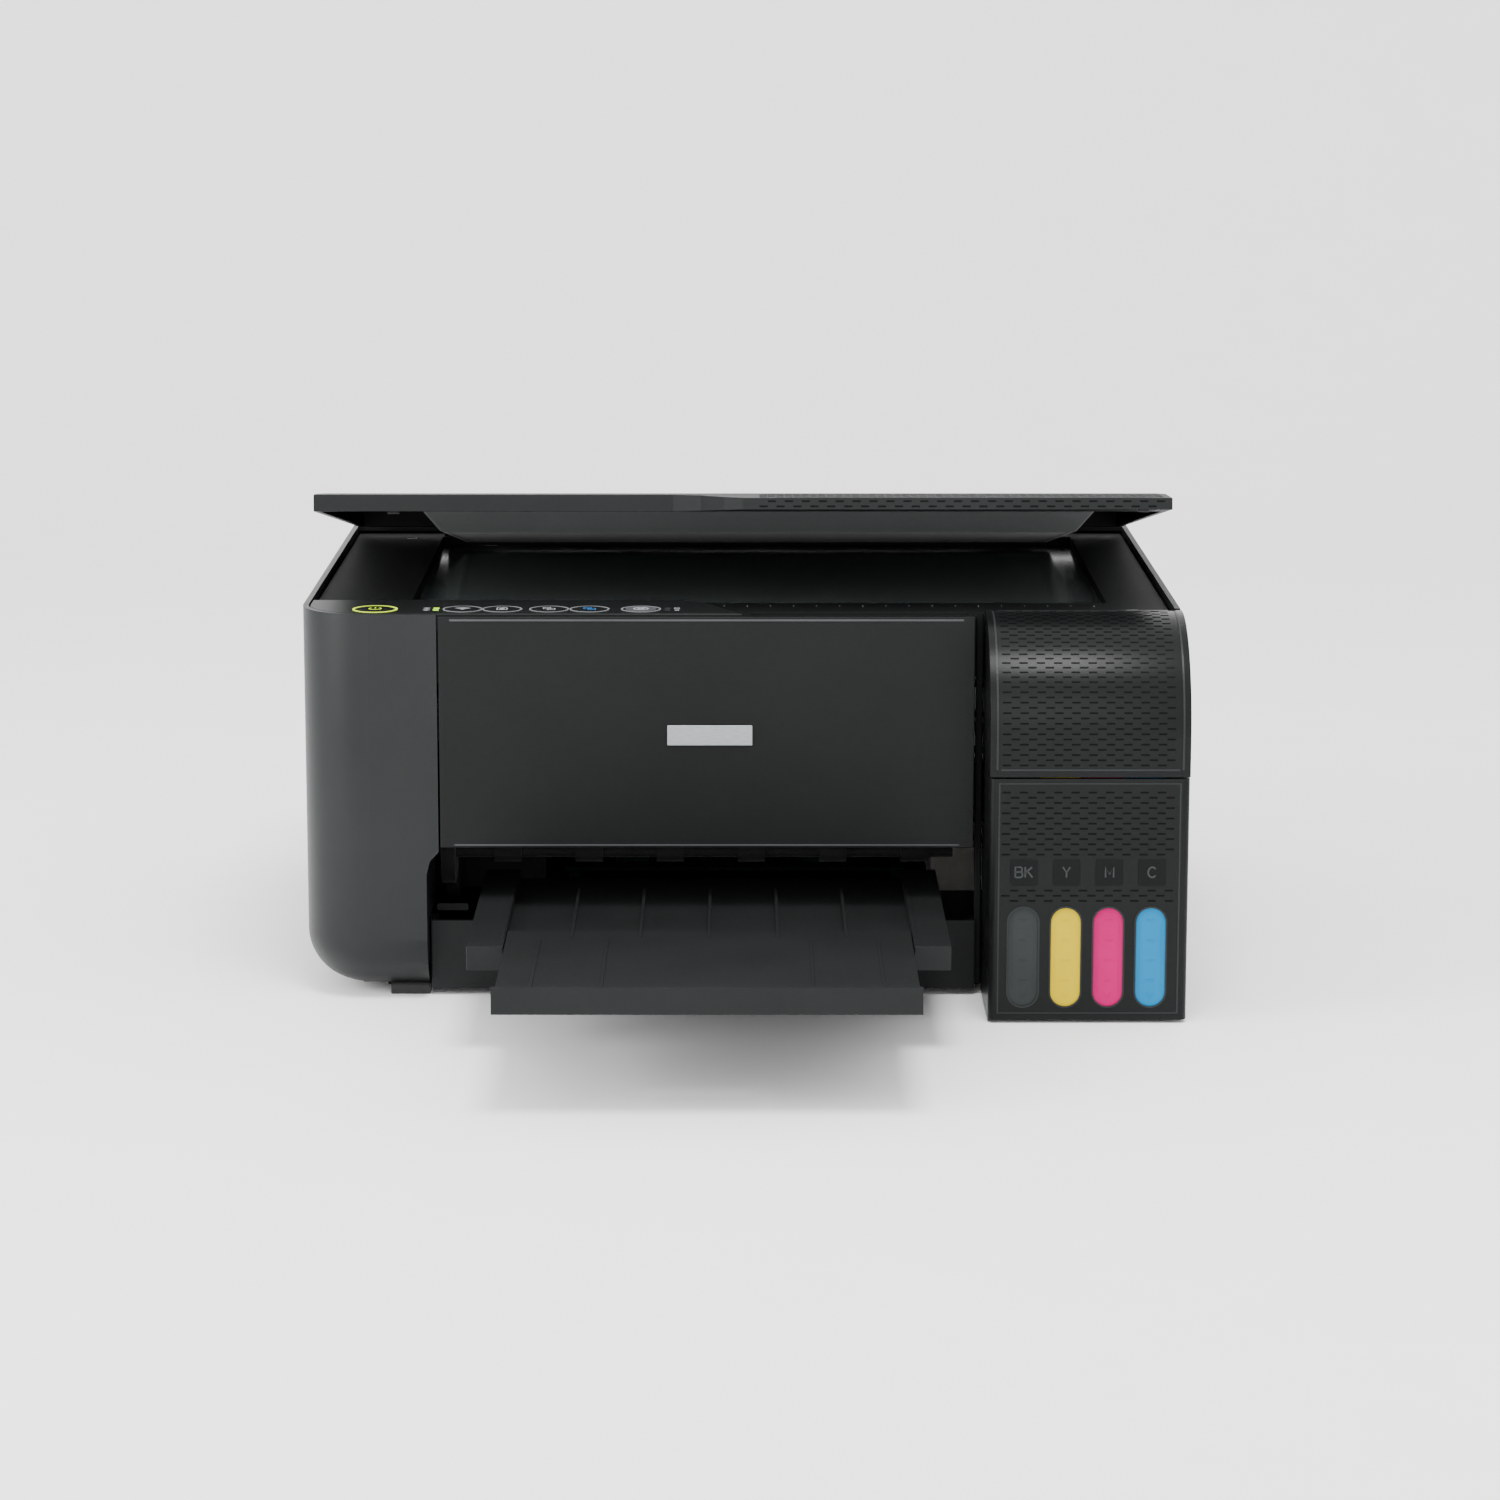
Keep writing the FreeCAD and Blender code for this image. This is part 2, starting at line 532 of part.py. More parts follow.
def make_scanner_unit():
    """The flatbed: lower case, frame, glass, control panel, front panel and its badge."""
    case_front = "(%s + skin + 2)" % FRONT
    base_outline = [
        (SCANNER_LEFT, case_front), (PANEL_RIGHT, case_front), (PANEL_RIGHT, SCANNER_FRONT_RIGHT),
        (SCANNER_RIGHT, SCANNER_FRONT_RIGHT), (SCANNER_RIGHT, "scanner_rear"), (SCANNER_LEFT, "scanner_rear"),
    ]
    body = outline("XY", base_outline, ("scanner_base", CASE_TOP), [((0,), "corner_radius - skin - seam - 2")])
    inside = outline("XY", [
        (SCANNER_LEFT + " + skin", case_front + " + skin"), (PANEL_RIGHT + " - skin", case_front + " + skin"),
        (PANEL_RIGHT + " - skin", SCANNER_FRONT_RIGHT + " + skin"),
        (SCANNER_RIGHT + " - skin", SCANNER_FRONT_RIGHT + " + skin"),
        (SCANNER_RIGHT + " - skin", "scanner_rear - 9"), (SCANNER_LEFT + " + skin", "scanner_rear - 9"),
    ], ("scanner_base + skin", CASE_TOP + " + 5"), [((0,), "corner_radius - 2 * skin - seam - 2")])
    slope = outline("YZ", [
        ("scanner_rear - 20", "scanner_base - 1"), ("scanner_rear + 5", "scanner_base - 1"),
        ("scanner_rear + 5", "scanner_base + 16"), ("scanner_rear", "scanner_base + 16"),
    ], (LEFT, RIGHT))
    ledges = []
    for y in (("glass_front - 7", "glass_front + 3"), ("glass_rear - 3", "glass_rear + 2")):
        ledges.append(block((SCANNER_LEFT + " + 1", SCANNER_RIGHT + " - 1"), y,
                            (CASE_TOP + " - glass_thickness - 3", CASE_TOP + " - glass_thickness - 0.1")))
    pins = [
        rod("X", (LEFT + " + 1", LEFT + " + skin + 6"), "scanner_hinge_y", "scanner_hinge_z", "scanner_pin"),
        rod("X", (RIGHT + " - skin - 6", RIGHT + " - 1"), "scanner_hinge_y", "scanner_hinge_z", "scanner_pin"),
    ]
    brackets = [
        block((x, x + " + 18"), (FRONT + " + skin", case_front + " + 1"), ("scanner_base + 4", "scanner_base + 18"))
        for x in ("-100", "-20", "60")
    ]
    shell = cut(body, inside, slope)
    rail_seats = rod("X", ("-176", "176"), "scan_rail_y", "scanner_base + 7.5", "3.05")
    keep(cut(fuse(shell, *(ledges + pins + brackets)), rail_seats), "scanner_case")
    keep(rod("X", (SCANNER_LEFT + " + skin + 0.1", SCANNER_RIGHT + " - skin - 0.1"), "scan_rail_y", "scanner_base + 7.5", "3"),
         "scan_rail")

    plate = outline("XY", [(SCANNER_LEFT, PANEL_REAR + " + 0.2")] + [
        (x + " + 0.4", y + " + 0.2") for x, y in panel_end()[:-1]
    ] + [
        ("panel_end + 30.4", FRONT + " + skin + 0.2"), (PANEL_RIGHT, FRONT + " + skin + 0.2"),
        (PANEL_RIGHT, SCANNER_FRONT_RIGHT), (SCANNER_RIGHT, SCANNER_FRONT_RIGHT),
        (SCANNER_RIGHT, "scanner_rear"), (SCANNER_LEFT, "scanner_rear"),
    ], (CASE_TOP, "bed_level"))
    window = block(("glass_left", "glass_right"), ("glass_front", "glass_rear"), (CASE_TOP + " - 1", "bed_level + 1"))
    pockets = [
        block((x, x + " + 26"), ("lid_hinge_y - 4.2", "scanner_rear + 1"), (CASE_TOP + " - 1", "bed_level + 1"))
        for x in ("-143", "117")
    ]
    shelf = block(("panel_end + 34", PANEL_RIGHT + " - 2"), (FRONT + " + 2 * skin", PANEL_REAR + " - 14"),
                  ("bed_level - 1.2", "bed_level + 1"))
    keep(cut(plate, window, shelf, *pockets), "scanner_frame")
    keep(block(("glass_left - 6", "glass_right + 6"), ("glass_front - 5", "glass_rear + 1"),
               (CASE_TOP + " - glass_thickness", CASE_TOP + " - 0.1")), "scanner_glass")

    make_control_panel()

    panel = block((COLUMN_EDGE + " + seam", PANEL_RIGHT), (FRONT, FRONT + " + skin"),
                  ("opening_height", "case_height - 1"))
    foot = block((COLUMN_EDGE + " + seam", PANEL_RIGHT), (FRONT, FRONT + " + 11"),
                 ("opening_height", "opening_height + skin"))
    keep(fuse(panel, foot), "front_panel")
    keep(block(("path_centre - 18", "path_centre + 18"), (FRONT + " - 0.9", FRONT), ("112", "120.6")), "badge_plate")

    bar = block((SCANNER_LEFT + " + 12", SCANNER_LEFT + " + 32"), ("glass_front + 4", "glass_rear - 4"),
                ("scanner_base + 5", CASE_TOP + " - glass_thickness - 1.2"))
    groove = rod("X", (SCANNER_LEFT, SCANNER_LEFT + " + 60"), "scan_rail_y", "scanner_base + 7.5", "3.06")
    keep(cut(bar, groove), "scan_carriage")


BUTTONS = [
    # (name, place across, radius)
    ("power_button", "-155.5", "power_button_radius"),
    ("wireless_button", "-118.2", "button_radius"),
    ("status_button", "-101.4", "button_radius"),
    ("mono_copy_button", "-81.4", "button_radius"),
    ("colour_copy_button", "-64.2", "button_radius"),
    ("stop_button", "-42.3", "button_radius"),
]
BUTTON_ROW = "(%s + 15)" % FRONT


def make_control_panel():
    """The panel in front of the lid, a shell, with its six round buttons."""
    corners = [(SCANNER_LEFT, FRONT + " + skin + 0.2"), ("panel_end + 30", FRONT + " + skin + 0.2")]
    corners += list(reversed(panel_end()))[1:]
    corners += [(SCANNER_LEFT, PANEL_REAR)]
    body = outline("XY", corners, (CASE_TOP, "case_height"), [((0,), "corner_radius - skin - seam")])
    inside = block((SCANNER_LEFT + " + 14", "panel_end + 2"), (FRONT + " + skin + 3", PANEL_REAR + " - 5"),
                   (CASE_TOP + " - 1", "case_height - 2"))
    holes = []
    for name, x, radius in BUTTONS:
        holes.append(rod("Z", ("case_height - 3", "case_height + 1"), x, BUTTON_ROW, radius + " + 0.25"))
    keep(cut(body, inside, *holes), "control_panel")
    for name, x, radius in BUTTONS:
        stem = rod("Z", ("case_height - 3.2", "case_height + 0.3"), x, BUTTON_ROW, radius)
        flange = rod("Z", ("case_height - 4", "case_height - 2.1"), x, BUTTON_ROW, radius + " + 0.9")
        keep(fuse(stem, flange), name)


def make_document_cover():
    """The cover over the glass and the mat under it, standing open at their rest angle."""
    rear = "lid_hinge_y + 1"
    low = "(case_height + 0.7)"
    side = [
        (rear, low), ("lid_front", low), ("lid_front", low + " + lid_lip"),
        ("lid_front + 30", "lid_top - 2.5"), ("lid_front + 75", "lid_top - 0.6"), ("lid_front + 130", "lid_top"),
        (rear, "lid_top"),
    ]
    body = outline("YZ", side, (LEFT + " + 3.5", RIGHT + " - 3.5"))
    step = outline("XY", [
        (LEFT, "lid_front - 5"), ("panel_end + 30", "lid_front - 5"), ("panel_end + 30", "lid_front + 1"),
        ("panel_end + 22", "lid_front + 0.3 * lid_step"), ("panel_end + 12", "lid_front + 0.75 * lid_step"),
        ("panel_end", "lid_front + lid_step"), (LEFT, "lid_front + lid_step"),
    ], (low + " - 5", "lid_top + 5"))
    inside = outline("YZ", [
        ("lid_hinge_y - 6", low + " - 1"), ("lid_front + lid_step + lid_skin", low + " - 1"),
        ("lid_front + lid_step + lid_skin", low + " + lid_lip - 1"),
        ("lid_front + 75", "lid_top - lid_skin - 0.6"), ("lid_front + 130", "lid_top - lid_skin"),
        ("lid_hinge_y - 6", "lid_top - lid_skin"),
    ], (LEFT + " + 3.5 + lid_skin", RIGHT + " - 3.5 - lid_skin"))
    barrels = [rod("X", (x, x + " + 22"), "lid_hinge_y", "lid_hinge_z", "3.2") for x in ("-141", "119")]
    webs = [
        block((x, x + " + 22"), ("lid_hinge_y - 3", "lid_hinge_y + 1"), ("lid_hinge_z", low + " + 2"))
        for x in ("-141", "119")
    ]
    cover = fuse(cut(body, step, inside), *(barrels + webs))
    keep(tilt(cover, "-lid_angle", "lid_hinge_y", "lid_hinge_z"), "document_cover")
    mat = outline("XY", [
        ("glass_left + 2", "glass_front + 5"), ("glass_right - 2", "glass_front + 5"),
        ("glass_right - 2", "glass_rear - 3"), ("glass_left + 2", "glass_rear - 3"),
    ], (CASE_TOP + " - 0.1 + mat_clearance", "lid_top - lid_skin - 4"), [((0, 1, 2, 3), "2")])
    keep(tilt(mat, "-lid_angle", "lid_hinge_y", "lid_hinge_z"), "document_mat")


def make_output_tray():
    """Two telescoping tray stages and the flip-up stop, pulled out for use."""
    tray_left = "(path_centre - tray_width / 2)"
    tray_right = "(path_centre + tray_width / 2)"
    tray_front = "(%s + 6 - tray_reach)" % FRONT
    tray_rear = "(%s + tray_length)" % tray_front
    tray_top = "(tray_base + tray_thickness)"
    plate = block((tray_left, tray_right), (tray_front, tray_rear), ("tray_base", tray_top))
    channel = block(("path_centre - extension_width / 2 - running", "path_centre + extension_width / 2 + running"),
                    (tray_front + " - 1", tray_rear + " + 1"), (tray_top + " - tray_channel", tray_top + " + 1"))
    keep(cut(plate, channel), "output_tray")

    ext_front = "(%s - 150)" % TANK_FRONT
    ext_left = "(path_centre - extension_width / 2)"
    ext_right = "(path_centre + extension_width / 2)"
    ext_base = "(%s - tray_channel + running)" % tray_top
    ext_deck = "(%s + extension_sheet)" % ext_base
    deck = block((ext_left, ext_right), (ext_front, ext_front + " + extension_length"), (ext_base, ext_deck))
    lip = block((ext_left, ext_right), (ext_front, ext_front + " + 3"), (ext_base, "extension_top"))
    stop_rear = "(%s + 4 + stopper_length)" % ext_front
    stop_level = "(%s + extension_sheet / 2)" % ext_base
    bed = block(("path_centre - stopper_width / 2 - running", "path_centre + stopper_width / 2 + running"),
                (ext_front + " + 3.5", stop_rear + " + 2.5"), (ext_base + " - 1", ext_deck + " + 1"))
    pin_span = ("path_centre - stopper_width / 2 - 3", "path_centre + stopper_width / 2 + 3")
    pin_hole = rod("X", pin_span, stop_rear, stop_level, "1.1")
    keep(cut(fuse(deck, lip), bed, pin_hole), "tray_extension")

    flap = block(("path_centre - stopper_width / 2", "path_centre + stopper_width / 2"),
                 (ext_front + " + 4", stop_rear), (ext_base + " + 0.3", ext_deck + " - 0.2"))
    pin = rod("X", (pin_span[0] + " + 0.5", pin_span[1] + " - 0.5"), stop_rear, stop_level, "1")
    stop = fuse(flap, pin)
    keep(stop, "paper_stopper")


def make_print_engine():
    """Chassis, carriage and its belt drive, rollers and their gears, platen and cap."""
    plate = block(("-frame_half", "frame_half"), ("frame_y", "frame_y + frame_plate"), ("70", "scanner_base - 8"))
    guide = block(("-frame_half", "frame_half"), ("frame_y - 16", "frame_y + frame_plate"),
                  ("scanner_base - 8", "scanner_base - 8 + frame_plate"))
    ends = []
    for low in ("-frame_half", "frame_half - frame_plate"):
        ends.append(block((low, low + " + frame_plate"), ("frame_y - 60", "frame_y + frame_plate"),
                          ("66", "scanner_base - 8 + frame_plate")))
        ends.append(block((low, low + " + frame_plate"), ("frame_y - 30", "frame_y + frame_plate"),
                          ("foot_height + floor_thickness + 30", "70")))
    shaft_hole = rod("Y", ("frame_y - 1", "frame_y + 4"), "-frame_half + 14", "belt_height", "3.2")
    rail = rod("X", ("-frame_half", "frame_half"), "rail_y", "rail_z", "rail_radius")
    keep(fuse(cut(fuse(plate, guide, *ends), shaft_hole), rail), "main_frame")

    half = "carriage_width / 2"
    left = "carriage_home - " + half
    right = "carriage_home + " + half
    carriage = block((left, right), ("-22", "40"), (HEAD_LEVEL + " + 6", "scanner_base - 20"))
    pocket = block((left + " + 3", right + " - 3"), ("-19", "0"), (HEAD_LEVEL + " + 16", "scanner_base"))
    head = block((left + " + 8", right + " - 8"), ("-14", "6"), (HEAD_LEVEL, HEAD_LEVEL + " + 7"))
    hook = block((left + " + 6", right + " - 6"), ("39", "frame_y - 4"), ("belt_height + pulley_radius + 2", "scanner_base - 22"))
    rail_bore = rod("X", (left + " - 1", right + " + 1"), "rail_y", "rail_z", "rail_radius + 0.06")
    keep(cut(fuse(carriage, head, hook), pocket, rail_bore), "print_carriage")

    for name, x in (("motor_pulley", "-frame_half + 14"), ("idler_pulley", "frame_half - 14")):
        wheel = rod("Y", ("frame_y - 7.5", "frame_y - 1"), x, "belt_height", "pulley_radius")
        bore = rod("Y", ("frame_y - 8", "frame_y"), x, "belt_height", "1.55")
        keep(cut(wheel, bore), name)
    runs = []
    for sign in ("+", "-"):
        level = "belt_height %s (pulley_radius + 0.9)" % sign
        runs.append(block(("-frame_half + 14", "frame_half - 14"), ("frame_y - 7", "frame_y - 2"),
                          (level + " - 0.6", level + " + 0.6")))
    bends = []
    for x, low, high in (("-frame_half + 14", "-frame_half + 4", "-frame_half + 14"),
                         ("frame_half - 14", "frame_half - 14", "frame_half - 4")):
        ring = cut(rod("Y", ("frame_y - 7", "frame_y - 2"), x, "belt_height", "pulley_radius + 1.5"),
                   rod("Y", ("frame_y - 8", "frame_y"), x, "belt_height", "pulley_radius + 0.3"))
        half_ring = doc.addObject("Part::Common", "HalfRing")
        half_ring.Base = ring
        half_ring.Tool = block((low, high), ("frame_y - 8", "frame_y"), ("belt_height - 12", "belt_height + 12"))
        bends.append(half_ring)
    keep(fuse(*(runs + bends)), "carriage_belt")

    motor = rod("Y", ("frame_y + frame_plate + 0.2", "frame_y + 34"), "-frame_half + 14", "belt_height", "12")
    shaft = rod("Y", ("frame_y - 8.5", "frame_y + 3"), "-frame_half + 14", "belt_height", "1.5")
    boss = rod("Y", ("frame_y + 0.1", "frame_y + 3"), "-frame_half + 14", "belt_height", "3")
    keep(fuse(motor, shaft, boss), "carriage_motor")

    make_rollers()

    platen = block((PATH_LEFT + " - 6", PATH_RIGHT + " + 2"), ("-48", "20"), ("paper_level - 9", "paper_level - 1.5"))
    gutter = block((PATH_LEFT + " - 2", PATH_RIGHT + " - 2"), ("-40", "12"), ("paper_level - 6", "paper_level"))
    ribs = [
        block(("path_centre + %d" % x, "path_centre + %d" % (x + 2)), ("-41", "13"), ("paper_level - 7", "paper_level - 1.5"))
        for x in range(-97, 100, 24)
    ]
    keep(fuse(cut(platen, gutter), *ribs), "platen")

    station = block(("carriage_home - 24", "carriage_home + 24"), ("-34", "30"), ("lip_height + 1", HEAD_LEVEL + " - 6"))
    cap = block(("carriage_home - 18", "carriage_home + 18"), ("-15", "7"), (HEAD_LEVEL + " - 7", HEAD_LEVEL + " - 0.8"))
    cap_well = block(("carriage_home - 16", "carriage_home + 16"), ("-13", "5"), (HEAD_LEVEL + " - 4", HEAD_LEVEL))
    stem = block(("carriage_home - 10", "carriage_home + 10"), ("-20", "20"),
                 ("foot_height + floor_thickness", "lip_height + 1"))
    keep(cut(fuse(station, cap, stem), cap_well), "capping_station")

    floor = "foot_height + floor_thickness"
    keep(block(("90", "165"), ("60", "150"), (floor, "lip_height - 5")), "waste_ink_pad")
    keep(block(("-152", "-92"), ("70", "150"), (floor, "lip_height + 8")), "power_supply")
    board = block(("-84", "80"), ("85", "160"), (floor + " + 4", floor + " + 5.6"))
    chips = [
        block((x, x + " + 16"), (y, y + " + 16"), (floor + " + 5.6", floor + " + 9"))
        for x, y in (("-60", "100"), ("-20", "120"), ("30", "98"))
    ]
    standoffs = [
        block((x, x + " + 6"), (y, y + " + 6"), (floor, floor + " + 4")) for x in ("-82", "72") for y in ("88", "150")
    ]
    keep(fuse(board, *(chips + standoffs)), "main_board")
    inlet = block(("-157.6", "-136.4"), (REAR + " - 19", REAR + " - 0.6"), ("38.4", "51.6"))
    socket = block(("-154.5", "-139.5"), (REAR + " - 12", REAR + " + 1"), ("41", "49"))
    pins = [rod("Y", (REAR + " - 13", REAR + " - 4"), x, "45", "1.2") for x in ("-151.3", "-142.7")]
    keep(fuse(cut(inlet, socket), *pins), "power_inlet")
    shell = block(("140.4", "152.6"), (REAR + " - 17", REAR + " - 0.6"), ("38.4", "49.6"))
    mouth = block(("142", "151"), (REAR + " - 12", REAR + " + 1"), ("40", "48"))
    tongue = block(("144", "149"), (REAR + " - 13", REAR + " - 3"), ("39.9", "42"))
    keep(fuse(cut(shell, mouth), tongue), "usb_port")

    tubes = []
    for number in range(4):
        x = "(%s + tank_inset + %d * tank_pitch)" % (TANK_LEFT, number)
        tubes.append(rod("Y", (TANK_REAR + " - 6", "-40"), x, "lip_height + 5", "1.8"))
    clip = block((TANK_LEFT + " + 8", RIGHT + " - 17"), ("-64", "-56"), ("foot_height + floor_thickness", "lip_height + 8"))
    keep(fuse(clip, *tubes), "ink_tubes")

    beam = block((PATH_LEFT + " - 6", PATH_RIGHT + " + 4"), ("eject_y - 4", "eject_y + 6"), ("paper_level + 8", "paper_level + 12"))
    stars = []
    for number in range(6):
        x = "path_centre + %d" % (-90 + 36 * number)
        stars.append(rod("X", (x + " - 0.6", x + " + 0.6"), "eject_y", "paper_level + 5.4", "5"))
        stars.append(block((x + " - 3", x + " + 3"), ("eject_y - 3", "eject_y + 4"), ("paper_level + 5", "paper_level + 9")))
    keep(fuse(beam, *stars), "star_wheel_frame")


def make_rollers():
    """Feed and eject rollers, joined by an idler gear, and the motor with its pinion."""
    left_end = "(%s - 8)" % PATH_LEFT
    gear_span = (left_end + " - gear_width", left_end)
    feed_level = "(paper_level - feed_radius)"
    eject_level = "(paper_level - eject_radius)"
    roller = rod("X", (left_end, "frame_half - 60"), "feed_y", feed_level, "feed_radius")
    gear = rod("X", gear_span, "feed_y", feed_level, "feed_gear")
    keep(fuse(roller, gear), "feed_roller")
    shaft = rod("X", (left_end, PATH_RIGHT + " + 2"), "eject_y", eject_level, "2.5")
    tyres = []
    for number in range(6):
        x = "path_centre + %d" % (-90 + 36 * number)
        tyres.append(rod("X", (x + " - 6", x + " + 6"), "eject_y", eject_level, "eject_radius"))
    wheel = rod("X", gear_span, "eject_y", eject_level, "eject_gear")
    keep(fuse(shaft, wheel, *tyres), "eject_roller")

    reach = "(feed_y - eject_y - feed_gear - eject_gear - 2 * mesh_gap)"
    idler_y = "(feed_y - feed_gear - mesh_gap - %s / 2)" % reach
    idler = rod("X", gear_span, idler_y, feed_level, "%s / 2" % reach)
    idler_bore = rod("X", (gear_span[0] + " - 1", gear_span[1] + " + 1"), idler_y, feed_level, "3.1")
    keep(cut(idler, idler_bore), "idler_gear")

    drop = "(feed_gear + pinion_gear + mesh_gap)"
    pinion_y = "(feed_y + %s * cos(45))" % drop
    pinion_z = "(%s - %s * sin(45))" % (feed_level, drop)
    pinion = rod("X", gear_span, pinion_y, pinion_z, "pinion_gear")
    bore = rod("X", (gear_span[0] + " - 1", gear_span[1] + " + 1"), pinion_y, pinion_z, "1.6")
    keep(cut(pinion, bore), "feed_pinion")
    body = rod("X", (gear_span[0] + " - 25", gear_span[0] + " - 0.8"), pinion_y, pinion_z, "12")
    spindle = rod("X", (gear_span[0] + " - 1", gear_span[1] + " + 1"), pinion_y, pinion_z, "1.5")
    keep(fuse(body, spindle), "feed_motor")


def on_slope(thing):
    """Lay an upright piece, modelled at the origin, against the feeding slope."""
    bind(thing, "Placement.Rotation.Axis.x", "1")
    bind(thing, "Placement.Rotation.Axis.y", "0")
    bind(thing, "Placement.Rotation.Axis.z", "0")
    bind(thing, "Placement.Rotation.Angle", "feed_angle - 90")
    bind(thing, "Placement.Base.y", "slope_y")
    bind(thing, "Placement.Base.z", "slope_z")
    return thing


def make_feeder():
    """Rear sheet feeder: back plate with side walls, telescoping support, guide and guard."""
    inner_left = "(%s - feeder_margin + 1)" % PATH_LEFT
    inner_right = "(%s + feeder_margin - 1)" % PATH_RIGHT
    layer = "(support_sheet + 0.3)"
    back = block((inner_left, inner_right), ("2 * " + layer, "2 * " + layer + " + 1.6"), ("-feeder_length", "-4"))
    walls = [
        block(x, ("-5", "2 * " + layer + " + 1.6"), ("-feeder_length", "-8"))
        for x in ((inner_left, inner_left + " + 1.6"), (inner_right + " - 1.6", inner_right))
    ]
    rail = block((inner_left, inner_right), ("0", "2 * " + layer + " + 1.6"), ("-feeder_length + 4", "-feeder_length + 12"))
    keep(on_slope(fuse(back, rail, *walls)), "feeder_frame")

    plate = block(("path_centre - support_width / 2", "path_centre + support_width / 2"),
                  (layer, layer + " + support_sheet"), ("-support_length", "0"))
    keep(on_slope(cut(plate, block(("path_centre - 30", "path_centre + 30"), ("0", "9"), ("-30", "-20")))), "paper_support")
    upper = block(("path_centre - support_width / 2 + 14", "path_centre + support_width / 2 - 14"),
                  ("0", "support_sheet"), ("-support_length + 6", "2"))
    grip = block(("path_centre - 16", "path_centre + 16"), ("0", "support_sheet"), ("1", "5"))
    keep(on_slope(fuse(upper, grip)), "paper_support_extension")

    fence = block((inner_left + " + 2.4", inner_left + " + 4.4"), ("-5", "-0.6"), ("-feeder_length + 4", "-18"))
    shoe = block((inner_left + " + 2.4", inner_left + " + 16"), ("-2.4", "-0.6"), ("-feeder_length + 4", "-feeder_length + 12"))
    keep(on_slope(fuse(fence, shoe)), "edge_guide")

    flap = block((PATH_LEFT + " - feeder_margin + 1", PATH_RIGHT + " + feeder_margin - 1"),
                 (REAR_SEAM + " + seam + 2", "slope_y + 1"), ("case_height - 2.4", "case_height - 0.6"))
    barrel = rod("X", (PATH_LEFT + " - feeder_margin + 4", PATH_RIGHT + " + feeder_margin - 4"),
                 REAR_SEAM + " + seam + 2", "case_height - 1.5", "0.9")
    keep(fuse(flap, barrel), "feeder_guard")

    low = "(slope_z - feeder_length * sin(feed_angle) + (pickup_radius + 1.2) * cos(feed_angle) + 5)"
    deep = "(slope_y - feeder_length * cos(feed_angle) - (pickup_radius + 1.2) * sin(feed_angle) + 5)"
    tyre = rod("X", ("path_centre + 30", "path_centre + 62"), deep, low, "pickup_radius")
    shaft = rod("X", (inner_left + " + 2", inner_right + " - 2"), deep, low, "3")
    keep(fuse(tyre, shaft), "pickup_roller")


def check_and_write():
    """Recompute, refuse any failed object or bad shape, and write the sub-parts."""
    doc.recompute()
    for thing in doc.Objects:
        if "Invalid" in thing.State or "Error" in thing.State:
            raise RuntimeError("failed: %s (%s)" % (thing.Label, thing.Name))
    for thing in parts:
        if thing.Shape.isNull() or not thing.Shape.isValid():
            raise RuntimeError("bad shape: " + thing.Label)
        if not thing.Shape.Solids:
            raise RuntimeError("no solid: " + thing.Label)
    os.makedirs("parts", exist_ok=True)
    for thing in parts:
        thing.Shape.exportStep("parts/%s.step" % thing.Label)
    print(len(parts), "sub-parts")


make_base_case()
make_tank_unit()
make_scanner_unit()
make_document_cover()
make_output_tray()
make_print_engine()
make_feeder()
check_and_write()
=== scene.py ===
"""Looks of a four-tank flatbed inkjet printer, dressed around its fixed CAD frame."""

import json
import logging
import math
from dataclasses import dataclass, field
from enum import Enum
from typing import Callable, Iterable, Sequence

import bmesh
import bpy
from mathutils import Matrix, Vector


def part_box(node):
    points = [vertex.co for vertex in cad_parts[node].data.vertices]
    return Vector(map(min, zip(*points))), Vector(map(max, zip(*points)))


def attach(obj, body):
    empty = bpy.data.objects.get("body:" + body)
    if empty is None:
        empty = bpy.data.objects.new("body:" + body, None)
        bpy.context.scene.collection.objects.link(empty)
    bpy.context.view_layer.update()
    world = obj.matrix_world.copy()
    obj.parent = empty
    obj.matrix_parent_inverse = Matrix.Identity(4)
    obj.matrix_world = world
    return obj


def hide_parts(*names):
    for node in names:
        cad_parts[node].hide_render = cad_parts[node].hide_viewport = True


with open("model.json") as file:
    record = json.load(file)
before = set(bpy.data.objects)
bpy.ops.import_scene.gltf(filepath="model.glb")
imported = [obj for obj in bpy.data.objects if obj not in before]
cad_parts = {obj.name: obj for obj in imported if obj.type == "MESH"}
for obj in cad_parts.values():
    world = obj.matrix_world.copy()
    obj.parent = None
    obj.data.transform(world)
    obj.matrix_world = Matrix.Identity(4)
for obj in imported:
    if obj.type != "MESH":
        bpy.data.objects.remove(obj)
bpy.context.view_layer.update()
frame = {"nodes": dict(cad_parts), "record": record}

LOG = logging.getLogger("printer")
MM = 0.001

Colour = tuple[float, float, float]
Point = tuple[float, float, float]
Flat = tuple[float, float]
Frame3 = tuple[Vector, Vector, Vector, Vector]
Surface = Callable[[float, float], Frame3]


class Body(Enum):
    """The moving groups of the frame that the pieces ride on."""

    BASE = "base"
    SCANNER = "scanner_unit"
    COVER = "document_cover"
    TANK_COVER = "tank_cover"
    TRAY = "output_tray"
    EXTENSION = "tray_extension"
    STOPPER = "paper_stopper"
    GUARD = "feeder_guard"
    CARRIAGE = "print_carriage"
    SCAN_BAR = "scan_carriage"
    POWER = "power_button"
    WIRELESS = "wireless_button"
    STATUS = "status_button"
    MONO = "mono_copy_button"
    COLOUR = "colour_copy_button"
    STOP = "stop_button"
    CAP_BLACK = "tank_cap_black"
    CAP_YELLOW = "tank_cap_yellow"
    CAP_MAGENTA = "tank_cap_magenta"
    CAP_CYAN = "tank_cap_cyan"


# ---------------------------------------------------------------- finishes


